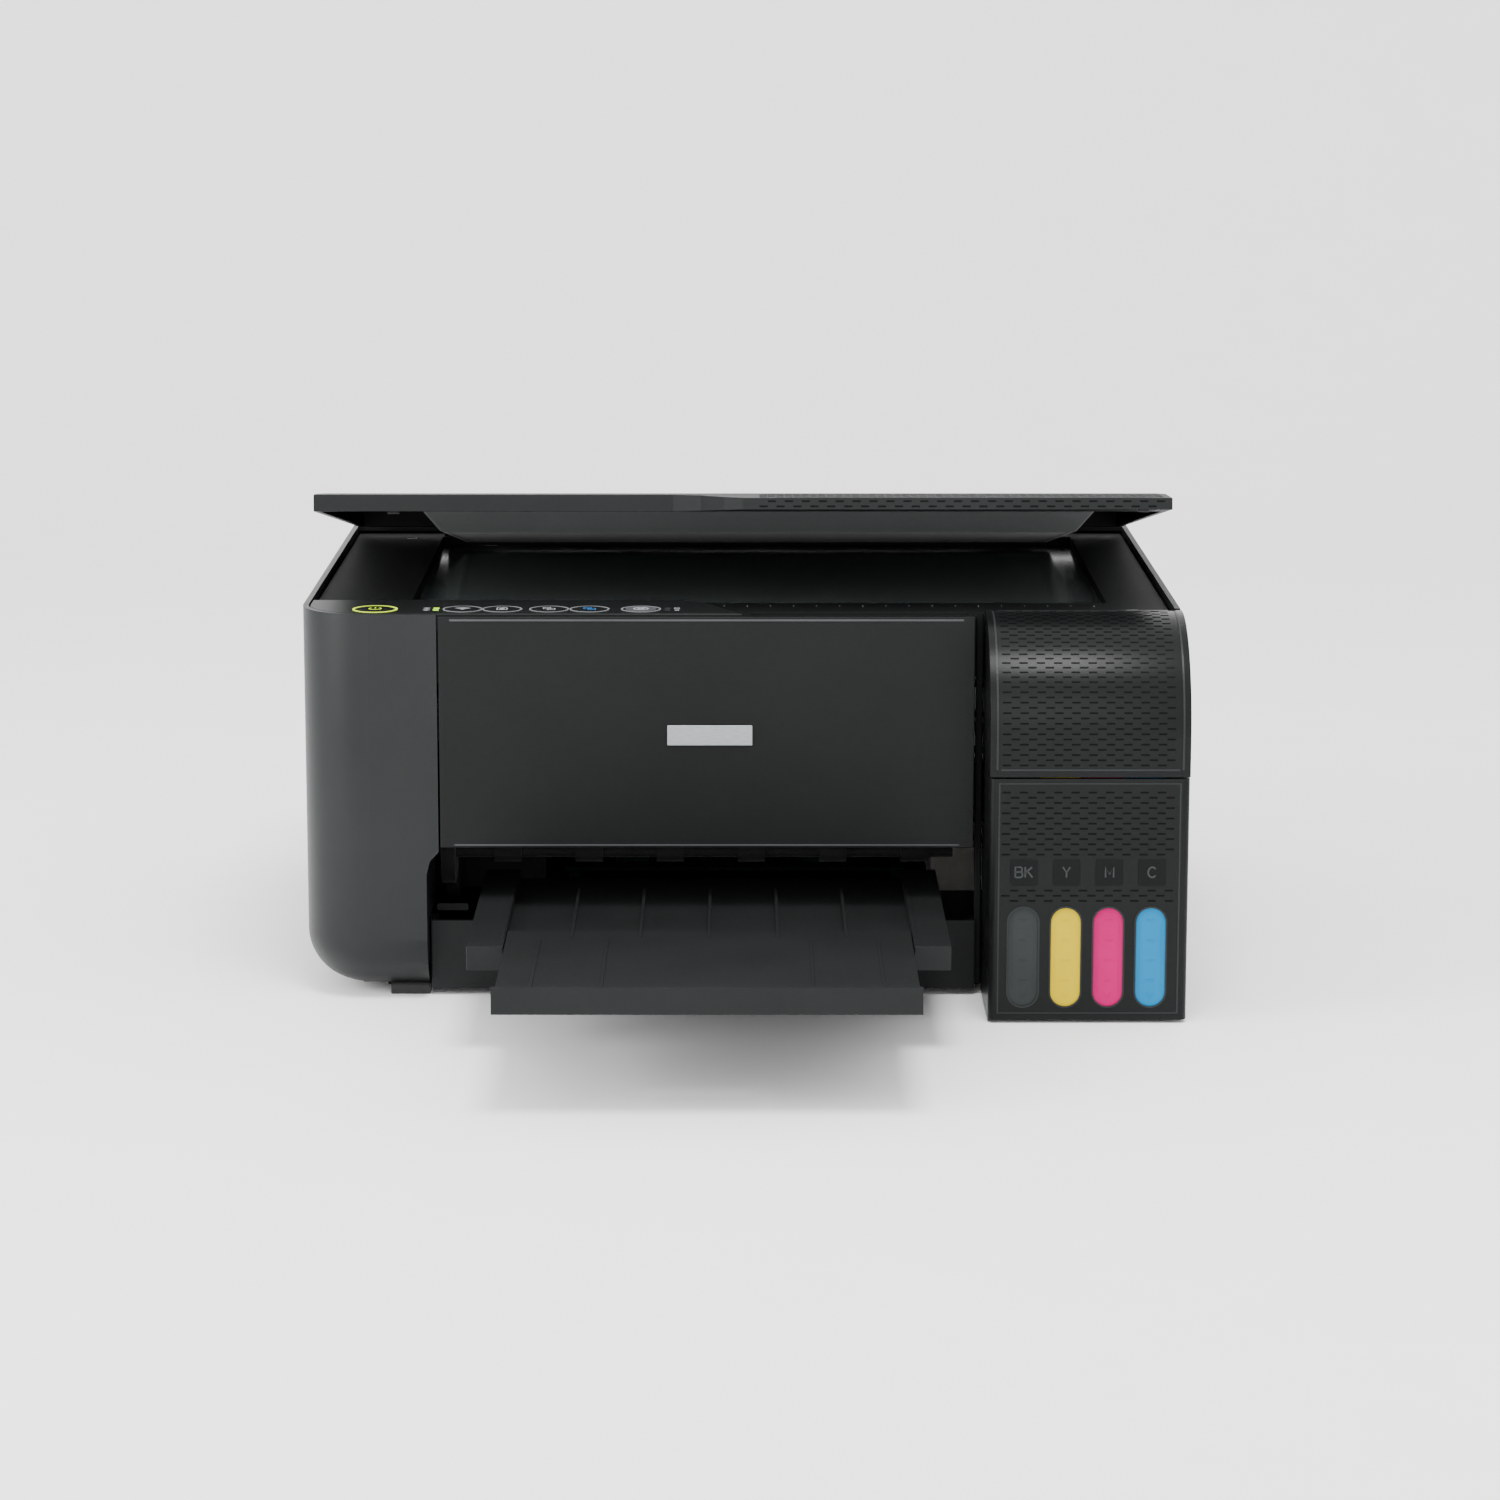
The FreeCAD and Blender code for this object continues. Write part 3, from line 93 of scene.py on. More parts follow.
class Nodes:
    """A short way to add and join the shader nodes of one material."""

    def __init__(self, name: str) -> None:
        """Start a node material.

        Args:
            name: The material's name.
        """
        self.material = bpy.data.materials.new(name)
        self.material.use_nodes = True
        self.tree = self.material.node_tree
        self.shader = self.tree.nodes["Principled BSDF"]
        self.coords = self.tree.nodes.new("ShaderNodeTexCoord")

    def add(self, kind: str, **inputs: float) -> bpy.types.Node:
        """Add a node and set its sockets.

        Args:
            kind: The node's type.
            inputs: Socket values by name, with underscores for spaces.

        Returns:
            The new node.
        """
        node = self.tree.nodes.new(kind)
        for key, value in inputs.items():
            node.inputs[key.replace("_", " ")].default_value = value
        return node

    def join(self, source: bpy.types.NodeSocket, target: bpy.types.NodeSocket) -> None:
        """Link one socket to another."""
        self.tree.links.new(source, target)

    def noise(self, scale: float, detail: float = 3.0, stretch: Point = (1, 1, 1)) -> bpy.types.NodeSocket:
        """A noise texture in the object's own metres.

        Args:
            scale: Cells per metre.
            detail: Octaves.
            stretch: Factor on each axis, to draw the noise out.

        Returns:
            The noise's value, from 0 to 1.
        """
        mapping = self.add("ShaderNodeMapping", Scale=stretch)
        self.join(self.coords.outputs["Object"], mapping.inputs["Vector"])
        node = self.add("ShaderNodeTexNoise", Scale=scale, Detail=detail)
        self.join(mapping.outputs["Vector"], node.inputs["Vector"])
        return node.outputs["Fac"]

    def fill(self, source: bpy.types.NodeSocket, colour: Colour, dark: float, light: float) -> None:
        """Let a value move the base colour between two shades.

        Args:
            source: The value that drives it.
            colour: The middle colour.
            dark: Factor at the low end.
            light: Factor at the high end.
        """
        node = self.tree.nodes.new("ShaderNodeValToRGB")
        for stop, place, factor in zip(node.color_ramp.elements, RAMP_SPAN, (dark, light)):
            stop.position = place
            stop.color = (*shade(colour, factor), 1)
        self.join(source, node.inputs["Fac"])
        self.join(node.outputs["Color"], self.shader.inputs["Base Color"])

    def gloss(self, source: bpy.types.NodeSocket, low: float, high: float) -> None:
        """Let a value move the roughness over a range.

        Args:
            source: The value that drives it.
            low: Roughness at 0.
            high: Roughness at 1.
        """
        node = self.add("ShaderNodeMapRange", To_Min=low, To_Max=high)
        self.join(source, node.inputs["Value"])
        self.join(node.outputs["Result"], self.shader.inputs["Roughness"])

    def constants(self, **inputs: float | tuple[float, ...]) -> None:
        """Set the shader's sockets by name, with underscores for spaces."""
        for key, value in inputs.items():
            self.shader.inputs[key.replace("_", " ")].default_value = value

    def bump(self, height: bpy.types.NodeSocket, depth: float, strength: float = 1.0) -> None:
        """Turn a height into the shader's normal.

        Args:
            height: The value that drives it.
            depth: Height of the relief in metres.
            strength: How much of it shows.
        """
        node = self.add("ShaderNodeBump", Strength=strength, Distance=depth)
        self.join(height, node.inputs["Height"])
        self.join(node.outputs["Normal"], self.shader.inputs["Normal"])


RAMP_SPAN = (0.3, 0.7)


def shade(colour: Colour, factor: float) -> Colour:
    """A colour made lighter or darker by a factor."""
    return tuple(min(1.0, c * factor) for c in colour)


@dataclass(frozen=True)
class Plastic:
    """Moulded plastic: spark-eroded grain, slow mottling and uneven gloss."""

    name: str
    colour: Colour
    roughness: float = 0.5
    grain: float = 0.00045
    depth: float = 0.00004
    mottle: float = 0.12
    coat: float = 0.0
    specular: float = 0.13

    def build(self) -> bpy.types.Material:
        """Make the material.

        Returns:
            The material.
        """
        nodes = Nodes(self.name)
        slow = nodes.noise(22.0, 4.0)
        fine = nodes.noise(1 / self.grain, 2.0)
        nodes.fill(slow, self.colour, 1 - self.mottle, 1 + self.mottle)
        nodes.gloss(fine, self.roughness - 0.07, self.roughness + 0.07)
        nodes.constants(Coat_Weight=self.coat, Coat_Roughness=0.12, Specular_IOR_Level=self.specular)
        nodes.bump(fine, self.depth, 0.7)
        return nodes.material


@dataclass(frozen=True)
class Metal:
    """Rolled or turned metal with fine drawn lines along one axis."""

    name: str
    colour: Colour
    roughness: float = 0.3
    stretch: Point = (0.04, 1, 1)
    lines: float = 2600.0

    def build(self) -> bpy.types.Material:
        """Make the material.

        Returns:
            The material.
        """
        nodes = Nodes(self.name)
        drawn = nodes.noise(self.lines, 3.0, self.stretch)
        nodes.fill(drawn, self.colour, 0.8, 1.12)
        nodes.gloss(drawn, self.roughness - 0.1, self.roughness + 0.12)
        nodes.constants(Metallic=1.0)
        nodes.bump(drawn, 0.00001, 0.5)
        return nodes.material


@dataclass(frozen=True)
class Sheet:
    """Soft sheet stock: foam-backed film, felt or rubber with a visible tooth."""

    name: str
    colour: Colour
    roughness: float = 0.8
    tooth: float = 0.0009
    depth: float = 0.00012
    sheen: float = 0.1

    def build(self) -> bpy.types.Material:
        """Make the material.

        Returns:
            The material.
        """
        nodes = Nodes(self.name)
        tooth = nodes.noise(1 / self.tooth, 5.0)
        slow = nodes.noise(9.0, 2.0)
        nodes.fill(slow, self.colour, 0.86, 1.12)
        nodes.gloss(tooth, self.roughness - 0.08, self.roughness + 0.1)
        nodes.constants(Sheen_Weight=self.sheen)
        nodes.bump(tooth, self.depth, 0.8)
        return nodes.material


@dataclass(frozen=True)
class Glass:
    """Platen glass, dark because nothing under it is lit; its tint is painted lighter to stand in for the
    light that the lid keeps off it.
    """

    name: str
    lifted_tint: Colour

    def build(self) -> bpy.types.Material:
        """Make the material.

        Returns:
            The material.
        """
        nodes = Nodes(self.name)
        smear = nodes.noise(30.0, 4.0, (1, 0.3, 1))
        nodes.gloss(smear, 0.10, 0.17)
        nodes.fill(smear, self.lifted_tint, 0.92, 1.05)
        nodes.constants(IOR=1.5, Alpha=0.9, Specular_IOR_Level=0.18)
        return nodes.material


@dataclass(frozen=True)
class Ink:
    """Ink behind a clear tank wall: saturated colour under a glossy coat, with a faint painted glow from
    emission though the ink is no lamp.
    """

    name: str
    colour: Colour
    painted_glow: float = 0.0

    def build(self) -> bpy.types.Material:
        """Make the material.

        Returns:
            The material.
        """
        nodes = Nodes(self.name)
        cloud = nodes.noise(60.0, 3.0, (1, 1, 0.4))
        nodes.fill(cloud, self.colour, 0.93, 1.05)
        nodes.gloss(cloud, 0.38, 0.5)
        # The emission is a painted glow: the ink shines a little by itself.
        nodes.constants(Specular_IOR_Level=0.08, Emission_Color=(*self.colour, 1),
                        Emission_Strength=self.painted_glow)
        nodes.bump(cloud, 0.00002, 0.3)
        return nodes.material


@dataclass(frozen=True)
class Lamp:
    """A lit mark: an indicator or the ring round the power button."""

    name: str
    colour: Colour
    strength: float = 2.0

    def build(self) -> bpy.types.Material:
        """Make the material.

        Returns:
            The material.
        """
        nodes = Nodes(self.name)
        nodes.fill(nodes.noise(900.0, 2.0), self.colour, 0.85, 1.0)
        nodes.constants(Emission_Color=(*self.colour, 1), Emission_Strength=self.strength)
        return nodes.material


class Finish(Enum):
    """Every finish on the printer."""

    CHARCOAL = Plastic("charcoal_grain", (0.0085, 0.0094, 0.0096), 0.5, 0.0006, 0.00005)
    # Painted light: a lighter, glossier copy of the charcoal for the left side housing, standing in for the
    # light that falls on that side from the left.
    LIT_COLUMN = Plastic("charcoal_side", (0.0098, 0.0111, 0.0114), 0.4, 0.0006, 0.00004, specular=0.2)
    TANK_SKIN = Plastic("tank_skin", (0.0046, 0.0053, 0.0053), 0.3, 0.0005, 0.00003, specular=0.12)
    # Painted shade: the dash finish is darker than the skin to stand in for the shade inside recessed dashes
    # and slots.
    DASH_SHADE = Plastic("tank_dash", (0.0012, 0.0014, 0.0014), 0.5, 0.0005, 0.00002, specular=0.06)
    # Painted highlight: the bead finish is lighter than the skin to stand in for the light caught along
    # rounded edges.
    BEAD_HIGHLIGHT = Plastic("edge_bead", (0.017, 0.019, 0.019), 0.35, 0.0008, 0.00001)
    PANEL = Plastic("panel_black", (0.0052, 0.0061, 0.0060), 0.4, 0.0007, 0.00003, 0.1)
    BED = Plastic("bed_black", (0.0062, 0.0072, 0.0070), 0.62, 0.0006, 0.00003, specular=0.06)
    BLACK = Plastic("inner_black", (0.0070, 0.0072, 0.0076), 0.5, 0.0006, 0.00004)
    GREY = Plastic("inner_grey", (0.052, 0.054, 0.057), 0.5, 0.0006, 0.00004)
    TRAY = Plastic("tray_charcoal", (0.0090, 0.0098, 0.0100), 0.48, 0.0006, 0.00004)
    PRINT = Plastic("panel_print", (0.36, 0.37, 0.38), 0.5, 0.0008, 0.00001)
    PRINT_BLUE = Plastic("panel_print_blue", (0.03, 0.16, 0.42), 0.5, 0.0008, 0.00001)
    PRINT_DIM = Plastic("panel_print_dim", (0.030, 0.031, 0.033), 0.5, 0.0008, 0.00001)
    RING = Plastic("button_ring", (0.15, 0.155, 0.16), 0.4, 0.0008, 0.00001)
    LETTER = Plastic("tank_letter", (0.030, 0.034, 0.034), 0.4, 0.0008, 0.00001)
    PLATE = Plastic("tank_plate", (0.0026, 0.0031, 0.0031), 0.34, 0.0008, 0.00001, specular=0.1)
    # Partly painted light: the mat's own grey, lifted to stand in for the bounce light on its shaded
    # underside.
    MAT_LIT = Sheet("cover_mat", (0.052, 0.059, 0.058), 0.75, 0.0012, 0.00010)
    FOAM = Sheet("cover_foam", (0.02, 0.022, 0.023), 0.9, 0.0016, 0.00025)
    FELT = Sheet("ink_felt", (0.62, 0.61, 0.58), 0.9, 0.0012, 0.0003, 0.4)
    RUBBER = Sheet("rubber", (0.010, 0.010, 0.010), 0.8, 0.0008, 0.00005)
    # Painted light: the glass tint is lifted because the open lid shades the glass.
    GLASS = Glass("platen_glass", (0.075, 0.088, 0.085))
    STEEL = Metal("plated_sheet", (0.50, 0.51, 0.52))
    SHAFT = Metal("ground_shaft", (0.60, 0.60, 0.61), 0.25, (1, 0.05, 0.05), 4000.0)
    SILVER = Metal("badge_silver", (0.30, 0.32, 0.33), 0.3, (0.05, 1, 1), 5000.0)
    CIRCUIT = Plastic("circuit_green", (0.006, 0.045, 0.018), 0.32, 0.0006, 0.00003)
    TUBE = Plastic("ink_tube", (0.16, 0.16, 0.17), 0.25, 0.0008, 0.00001)
    INK_BLACK = Ink("ink_black", (0.024, 0.027, 0.027))
    # Painted glow: the coloured inks emit a little light of their own.
    INK_YELLOW = Ink("ink_yellow", (0.50, 0.365, 0.0), 0.06)
    INK_MAGENTA = Ink("ink_magenta", (0.38, 0.0, 0.095), 0.06)
    INK_CYAN = Ink("ink_cyan", (0.0, 0.155, 0.34), 0.06)
    GREEN_LIGHT = Lamp("green_light", (0.45, 0.85, 0.03), 1.6)
    POWER_LIGHT = Lamp("power_light", (0.40, 0.55, 0.015), 1.3)


_built: dict[Finish, bpy.types.Material] = {}


def material(finish: Finish) -> bpy.types.Material:
    """The finish's material, made once."""
    if finish not in _built:
        _built[finish] = finish.value.build()
    return _built[finish]


# ---------------------------------------------------------------- mesh tools


BAR_TAPER = 0.12
STROKE_SINK = 0.08 * MM
WELD_REACH = 0.01 * MM
BEVEL_SEGMENTS = 3


@dataclass
class Shape:
    """Vertices and faces gathered for one piece."""

    points: list[Vector] = field(default_factory=list)
    faces: list[tuple[int, ...]] = field(default_factory=list)

    def prism(self, ring: Sequence[Vector], rise: Vector, shrink: float = 0.0) -> None:
        """Add a closed prism over a flat ring, drawn in a little at its top.

        Args:
            ring: The base outline, anticlockwise seen from the top.
            rise: From the base to the top.
            shrink: How far the top is drawn in towards its middle, as a share.
        """
        middle = sum(ring, Vector()) / len(ring)
        start = len(self.points)
        count = len(ring)
        self.points += list(ring)
        self.points += [p.lerp(middle, shrink) + rise for p in ring]
        self.faces.append(tuple(start + i for i in reversed(range(count))))
        self.faces.append(tuple(start + count + i for i in range(count)))
        for i in range(count):
            j = (i + 1) % count
            self.faces.append((start + i, start + j, start + count + j, start + count + i))

    def bar(self, place: Frame3, length: float, width: float, height: float, sink: float = 0.1 * MM) -> None:
        """Add a low tapered bar on a surface.

        Args:
            place: Point, along, across and outward directions.
            length: Size along.
            width: Size across.
            height: How far it stands out.
            sink: How far its base is let in.
        """
        at, along, across, out = place
        low = at - out * sink
        u, v = along * (length / 2), across * (width / 2)
        self.prism([low - u - v, low + u - v, low + u + v, low - u + v], out * (height + sink), BAR_TAPER)

    def rounded(self, place: Frame3, length: float, width: float, radius: float, height: float,
                sink: float = 0.1 * MM, steps: int = 5) -> None:
        """Add a plate with round corners on a surface.

        Args:
            place: Point, along, across and outward directions.
            length: Size along.
            width: Size across.
            radius: Corner radius.
            height: How far it stands out.
            sink: How far its base is let in.
            steps: Segments to a corner.
        """
        at, along, across, out = place
        ring = []
        for quarter, (su, sv) in enumerate(((1, 1), (-1, 1), (-1, -1), (1, -1))):
            for step in range(steps + 1):
                turn = math.pi / 2 * (quarter + step / steps)
                u = su * (length / 2 - radius) + radius * math.cos(turn)
                v = sv * (width / 2 - radius) + radius * math.sin(turn)
                ring.append(at + along * u + across * v - out * sink)
        self.prism(ring, out * (height + sink), 0.0)

    def stroke(self, path: Sequence[tuple[float, float]], place: Frame3, width: float, height: float,
               closed: bool = False) -> None:
        """Add a raised line that follows a path on a flat place.

        Args:
            path: Points (along, across) from the place's point.
            place: Point, along, across and outward directions.
            width: Line width.
            height: How far it stands out.
            closed: Whether the last point joins the first.
        """
        at, along, across, out = place
        flat = [Vector((u, v)) for u, v in path]
        count = len(flat)
        sides: list[tuple[Vector, Vector]] = []
        for i, here in enumerate(flat):
            before = flat[i - 1] if (i or closed) else here
            after = flat[(i + 1) % count] if (i < count - 1 or closed) else here
            heading = (after - before).normalized()
            normal = Vector((-heading.y, heading.x)) * (width / 2)
            sides.append((here + normal, here - normal))
        self.sweep([[at + along * end.x + across * end.y + out * lift for end, lift in
                     ((left, -STROKE_SINK), (right, -STROKE_SINK), (right, height), (left, height))]
                    for left, right in sides], closed)

    def sweep(self, sections: Sequence[Sequence[Vector]], closed: bool = False) -> None:
        """Join four-cornered sections into one solid run.

        Args:
            sections: The corners of each section, in the same order.
            closed: Whether the last section joins the first.
        """
        start = len(self.points)
        count = len(sections)
        for section in sections:
            self.points += section
        for i in range(count if closed else count - 1):
            a, b = start + 4 * i, start + 4 * ((i + 1) % count)
            self.faces += [(a + k, a + (k + 1) % 4, b + (k + 1) % 4, b + k) for k in range(4)]
        if not closed:
            last = start + 4 * (count - 1)
            self.faces += [(start + 3, start + 2, start + 1, start), (last, last + 1, last + 2, last + 3)]

    def piece(self, name: str, finish: Finish, body: Body, bevel: float = 0.0, smooth: bool = False) -> bpy.types.Object:
        """Make the object, dress it and let it ride on its body.

        Args:
            name: The piece's name.
            finish: Its finish.
            body: The body it rides on.
            bevel: Width of a rounded edge, 0 for none.
            smooth: Whether faces shade smoothly.

        Returns:
            The object.
        """
        mesh = bpy.data.meshes.new(name)
        mesh.from_pydata([tuple(p) for p in self.points], [], self.faces)
        tidy = bmesh.new()
        tidy.from_mesh(mesh)
        bmesh.ops.recalc_face_normals(tidy, faces=tidy.faces)
        tidy.to_mesh(mesh)
        tidy.free()
        mesh.polygons.foreach_set("use_smooth", [smooth] * len(mesh.polygons))
        thing = bpy.data.objects.new(name, mesh)
        bpy.context.collection.objects.link(thing)
        mesh.materials.append(material(finish))
        if bevel:
            soften(thing, bevel)
        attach(thing, body.value)
        LOG.info("piece %s on %s, %d faces", name, body.value, len(mesh.polygons))
        return thing


def ribs(name: str, finish: Finish, body: Body, places: Iterable[Frame3], size: tuple[float, float, float],
         bevel: float = 0.0) -> None:
    """Make one piece of equal low bars.

    Args:
        name: The piece's name.
        finish: Its finish.
        body: The body it rides on.
        places: Where the bars lie.
        size: Length, width and height of a bar.
        bevel: Width of a rounded edge.
    """
    shape = Shape()
    for place in places:
        shape.bar(place, *size)
    shape.piece(name, finish, body, bevel)


def in_mm(path: Iterable[Flat]) -> list[Flat]:
    """A path given in millimetres, as metres."""
    return [(u * MM, v * MM) for u, v in path]


def soften(thing: bpy.types.Object, width: float, angle: float = 35.0, weld: bool = False) -> None:
    """Round an object's edges with modifiers.

    Args:
        thing: The object.
        width: Bevel width.
        angle: Edges sharper than this are rounded.
        weld: Whether to join split vertices first.
    """
    if weld:
        joined = thing.modifiers.new("weld", "WELD")
        joined.merge_threshold = WELD_REACH
    bevel = thing.modifiers.new("bevel", "BEVEL")
    bevel.width = width
    bevel.segments = BEVEL_SEGMENTS
    bevel.limit_method = "ANGLE"
    bevel.angle_limit = math.radians(angle)
    bevel.harden_normals = False
    bevel.miter_outer = "MITER_ARC"


def dress(node: str, finish: Finish, bevel: float = 0.0) -> None:
    """Give a CAD node its finish, with its edges eased.

    Args:
        node: The node's name.
        finish: Its finish.
        bevel: Width of the eased edge, 0 for none.
    """
    thing = frame["nodes"][node]
    thing.data.materials.clear()
    thing.data.materials.append(material(finish))
    if bevel:
        soften(thing, bevel, weld=True)
    LOG.info("node %s dressed in %s", node, finish.value.name)


def dress_all(rows: Iterable[tuple[str, Finish, float]]) -> None:
    """Dress several nodes, each given as its name, its finish and its edge in millimetres."""
    for node, finish, bevel in rows:
        dress(node, finish, bevel * MM)


def corners(node: str) -> tuple[Vector, Vector]:
    """A node's lowest and highest corners at rest."""
    low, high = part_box(node)
    return Vector(low), Vector(high)


@dataclass(frozen=True)
class Tilt:
    """A turn about an axis along X, for what stands swung open at rest."""

    angle: float
    y: float
    z: float

    def matrix(self) -> Matrix:
        """The turn as a matrix."""
        away = Matrix.Translation((0, self.y, self.z))
        return away @ Matrix.Rotation(self.angle, 4, "X") @ away.inverted()

    def place(self, spot: Frame3) -> Frame3:
        """Turn a point and its directions."""
        whole = self.matrix()
        turn = whole.to_3x3()
        return whole @ spot[0], turn @ spot[1], turn @ spot[2], turn @ spot[3]


def record_joint(name: str) -> dict:
    """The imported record's joint of that name, with its range."""
    return next(j for j in frame["record"]["behaviour"]["joints"] if j["name"] == name)


X_AXIS, Y_AXIS, Z_AXIS = Vector((1, 0, 0)), Vector((0, 1, 0)), Vector((0, 0, 1))


def front_place(x: float, y: float, z: float) -> Frame3:
    """A place on a wall that faces the front."""
    return Vector((x, y, z)), X_AXIS, Z_AXIS, -Y_AXIS


def top_place(x: float, y: float, z: float) -> Frame3:
    """A place on a surface that faces up."""
    return Vector((x, y, z)), X_AXIS, Y_AXIS, Z_AXIS


def rear_place(x: float, y: float, z: float) -> Frame3:
    """A place on a wall that faces the back."""
    return Vector((x, y, z)), -X_AXIS, Z_AXIS, Y_AXIS


def deck_place(x: float, y: float, z: float) -> Frame3:
    """A place on a deck that faces up, with its length front to back."""
    return Vector((x, y, z)), Y_AXIS, -X_AXIS, Z_AXIS


def ring_path(radius: float, start: float = 0.0, end: float = 360.0, steps: int = 28,
              centre: tuple[float, float] = (0.0, 0.0)) -> list[tuple[float, float]]:
    """Points on a circle or an arc.

    Args:
        radius: The circle's radius.
        start: First angle in degrees.
        end: Last angle in degrees.
        steps: Segments.
        centre: The circle's centre.

    Returns:
        The points, without a repeat where the arc is a whole circle.
    """
    whole = abs(end - start) >= 360
    count = steps if whole else steps + 1
    turns = [math.radians(start + (end - start) * i / steps) for i in range(count)]
    return [(centre[0] + radius * math.cos(t), centre[1] + radius * math.sin(t)) for t in turns]


LETTERS: dict[str, list[list[tuple[float, float]]]] = {
    "B": [[(0, 0), (0, 1), (0.6, 1), (0.8, 0.88), (0.8, 0.64), (0.6, 0.52), (0, 0.52)],
          [(0.6, 0.52), (0.86, 0.4), (0.86, 0.12), (0.62, 0), (0, 0)]],
    "K": [[(0, 0), (0, 1)], [(0.8, 1), (0, 0.42)], [(0.26, 0.6), (0.86, 0)]],
    "Y": [[(0, 1), (0.43, 0.48), (0.86, 1)], [(0.43, 0.48), (0.43, 0)]],
    "M": [[(0, 0), (0, 1), (0.48, 0.3), (0.96, 1), (0.96, 0)]],
    "C": [[(0.86, 0.8), (0.68, 0.97), (0.4, 1), (0.14, 0.86), (0, 0.62), (0, 0.36), (0.14, 0.13), (0.4, 0),
           (0.68, 0.03), (0.86, 0.2)]],
}


def letter(shape: Shape, text: str, place: Frame3, height: float, width: float, rise: float) -> None:
    """Add block letters, centred on a place.

    Args:
        shape: The shape that takes them.
        text: The letters.
        place: Where their middle is.
        height: Letter height.
        width: Stroke width.
        rise: How far they stand out.
    """
    pitch = height * 0.95
    start = -(pitch * (len(text) - 1) + height * 0.7) / 2
    for number, sign in enumerate(text):
        for path in LETTERS[sign]:
            moved = [(start + number * pitch + u * height * 0.8, (v - 0.5) * height) for u, v in path]
            shape.stroke(moved, place, width, rise)


@dataclass
class Studio:
    """Pale floor and backdrop, soft lights, and the camera."""

    camera_at: Point = (-0.0012, -1.9725, 0.452)
    tilt: float = 79.45
    lens: float = 105.6
    shift: float = 0.00827
    floor_front: float = -3.2
    floor_back: float = 2.2
    sweep: float = 1.0
    half_width: float = 3.6
    wall_height: float = 3.4
    sweep_steps: int = 12
    sensor: float = 36.0
    room: float = 1.95
    lights: tuple[tuple[str, Point, Point, float, float], ...] = (
        ("key", (0.10, -0.62, 1.55), (0.10, -0.12, 0.12), 0.5, 24.0),
        ("left", (-1.7, -0.9, 0.85), (-0.10, -0.05, 0.10), 0.9, 30.0),
        ("front", (0.0, -2.4, 0.9), (0.0, -0.15, 0.08), 1.3, 12.0))

    def build(self) -> None:
        """Set the camera, the floor and the lights."""
        self.camera()
        self.floor()
        for name, at, aim, size, power in self.lights:
            self.light(name, at, aim, size, power)
        self.world(self.room)

    def camera(self) -> None:
        """Create the camera and set it."""
        data = bpy.data.cameras.new("camera")
        data.lens = self.lens
        data.sensor_width = self.sensor
        data.shift_x = self.shift
        thing = bpy.data.objects.new("camera", data)
        bpy.context.collection.objects.link(thing)
        thing.location = self.camera_at
        thing.rotation_euler = (math.radians(self.tilt), 0.0, 0.0)
        bpy.context.scene.camera = thing

    def floor(self) -> None:
        """A floor that sweeps up into a backdrop."""
        profile = [(self.floor_front, 0.0), (self.floor_back - self.sweep, 0.0)]
        for step in range(1, self.sweep_steps + 1):
            turn = math.pi / 2 * step / self.sweep_steps
            profile.append((self.floor_back - self.sweep + self.sweep * math.sin(turn),
                            self.sweep * (1 - math.cos(turn))))
        profile.append((self.floor_back, self.wall_height))
        points = [(side * self.half_width, y, z) for y, z in profile for side in (-1, 1)]
        faces = [(2 * i, 2 * i + 1, 2 * i + 3, 2 * i + 2) for i in range(len(profile) - 1)]
        mesh = bpy.data.meshes.new("floor")
        mesh.from_pydata(points, [], faces)
        mesh.polygons.foreach_set("use_smooth", [True] * len(mesh.polygons))
        thing = bpy.data.objects.new("floor", mesh)
        bpy.context.collection.objects.link(thing)
        paper = Plastic("studio_paper", (0.95, 0.95, 0.95), 0.7, 0.004, 0.00001, 0.01)
        mesh.materials.append(paper.build())

    def light(self, name: str, at: Point, aim: Point, size: float, power: float) -> None:
        """Add one square softbox.

        Args:
            name: The light's name.
            at: Where it stands.
            aim: What it faces.
            size: Side of the square.
            power: Watts.
        """
        data = bpy.data.lights.new(name, "AREA")
        data.size = size
        data.energy = power
        thing = bpy.data.objects.new(name, data)
        bpy.context.collection.objects.link(thing)
        thing.location = at
        thing.rotation_euler = (Vector(aim) - Vector(at)).to_track_quat("-Z", "Y").to_euler()

    def world(self, strength: float) -> None:
        """Fill the room with even white light.

        Args:
            strength: The background's strength.
        """
        world = bpy.data.worlds.new("room")
        world.use_nodes = True
        back = world.node_tree.nodes["Background"]
        back.inputs["Color"].default_value = (1, 1, 1, 1)
        back.inputs["Strength"].default_value = strength
        bpy.context.scene.world = world


@dataclass
class Dashes:
    """The moulded pattern of short staggered dashes, laid as low raised bars that take the dark dash finish:
    painted shade for the recessed dashes.
    """

    pitch: float = 7.2 * MM
    row: float = 2.2 * MM
    length: float = 3.7 * MM
    width: float = 0.75 * MM
    height: float = 0.12 * MM

    def cover(self, shape: Shape, surface: Surface, span: tuple[float, float], rise: tuple[float, float],
              keep_out: Iterable[tuple[float, float, float, float]] = ()) -> None:
        """Lay dashes over part of a surface.

        Args:
            shape: The shape that takes them.
            surface: Gives the place for a position along and up.
            span: Limits along.
            rise: Limits up.
            keep_out: Boxes (along low, up low, along high, up high) left clear.
        """
        boxes = list(keep_out)
        rows = int((rise[1] - rise[0]) / self.row)
        for r in range(rows + 1):
            v = rise[0] + r * self.row
            u = span[0] + self.length / 2 + (self.pitch / 2 if r % 2 else 0.0)
            while u + self.length / 2 <= span[1] and v <= rise[1]:
                half = self.length / 2
                if not any(a < u + half and u - half < c and b < v < d for a, b, c, d in boxes):
                    shape.bar(surface(u, v), self.length, self.width, self.height)
                u += self.pitch


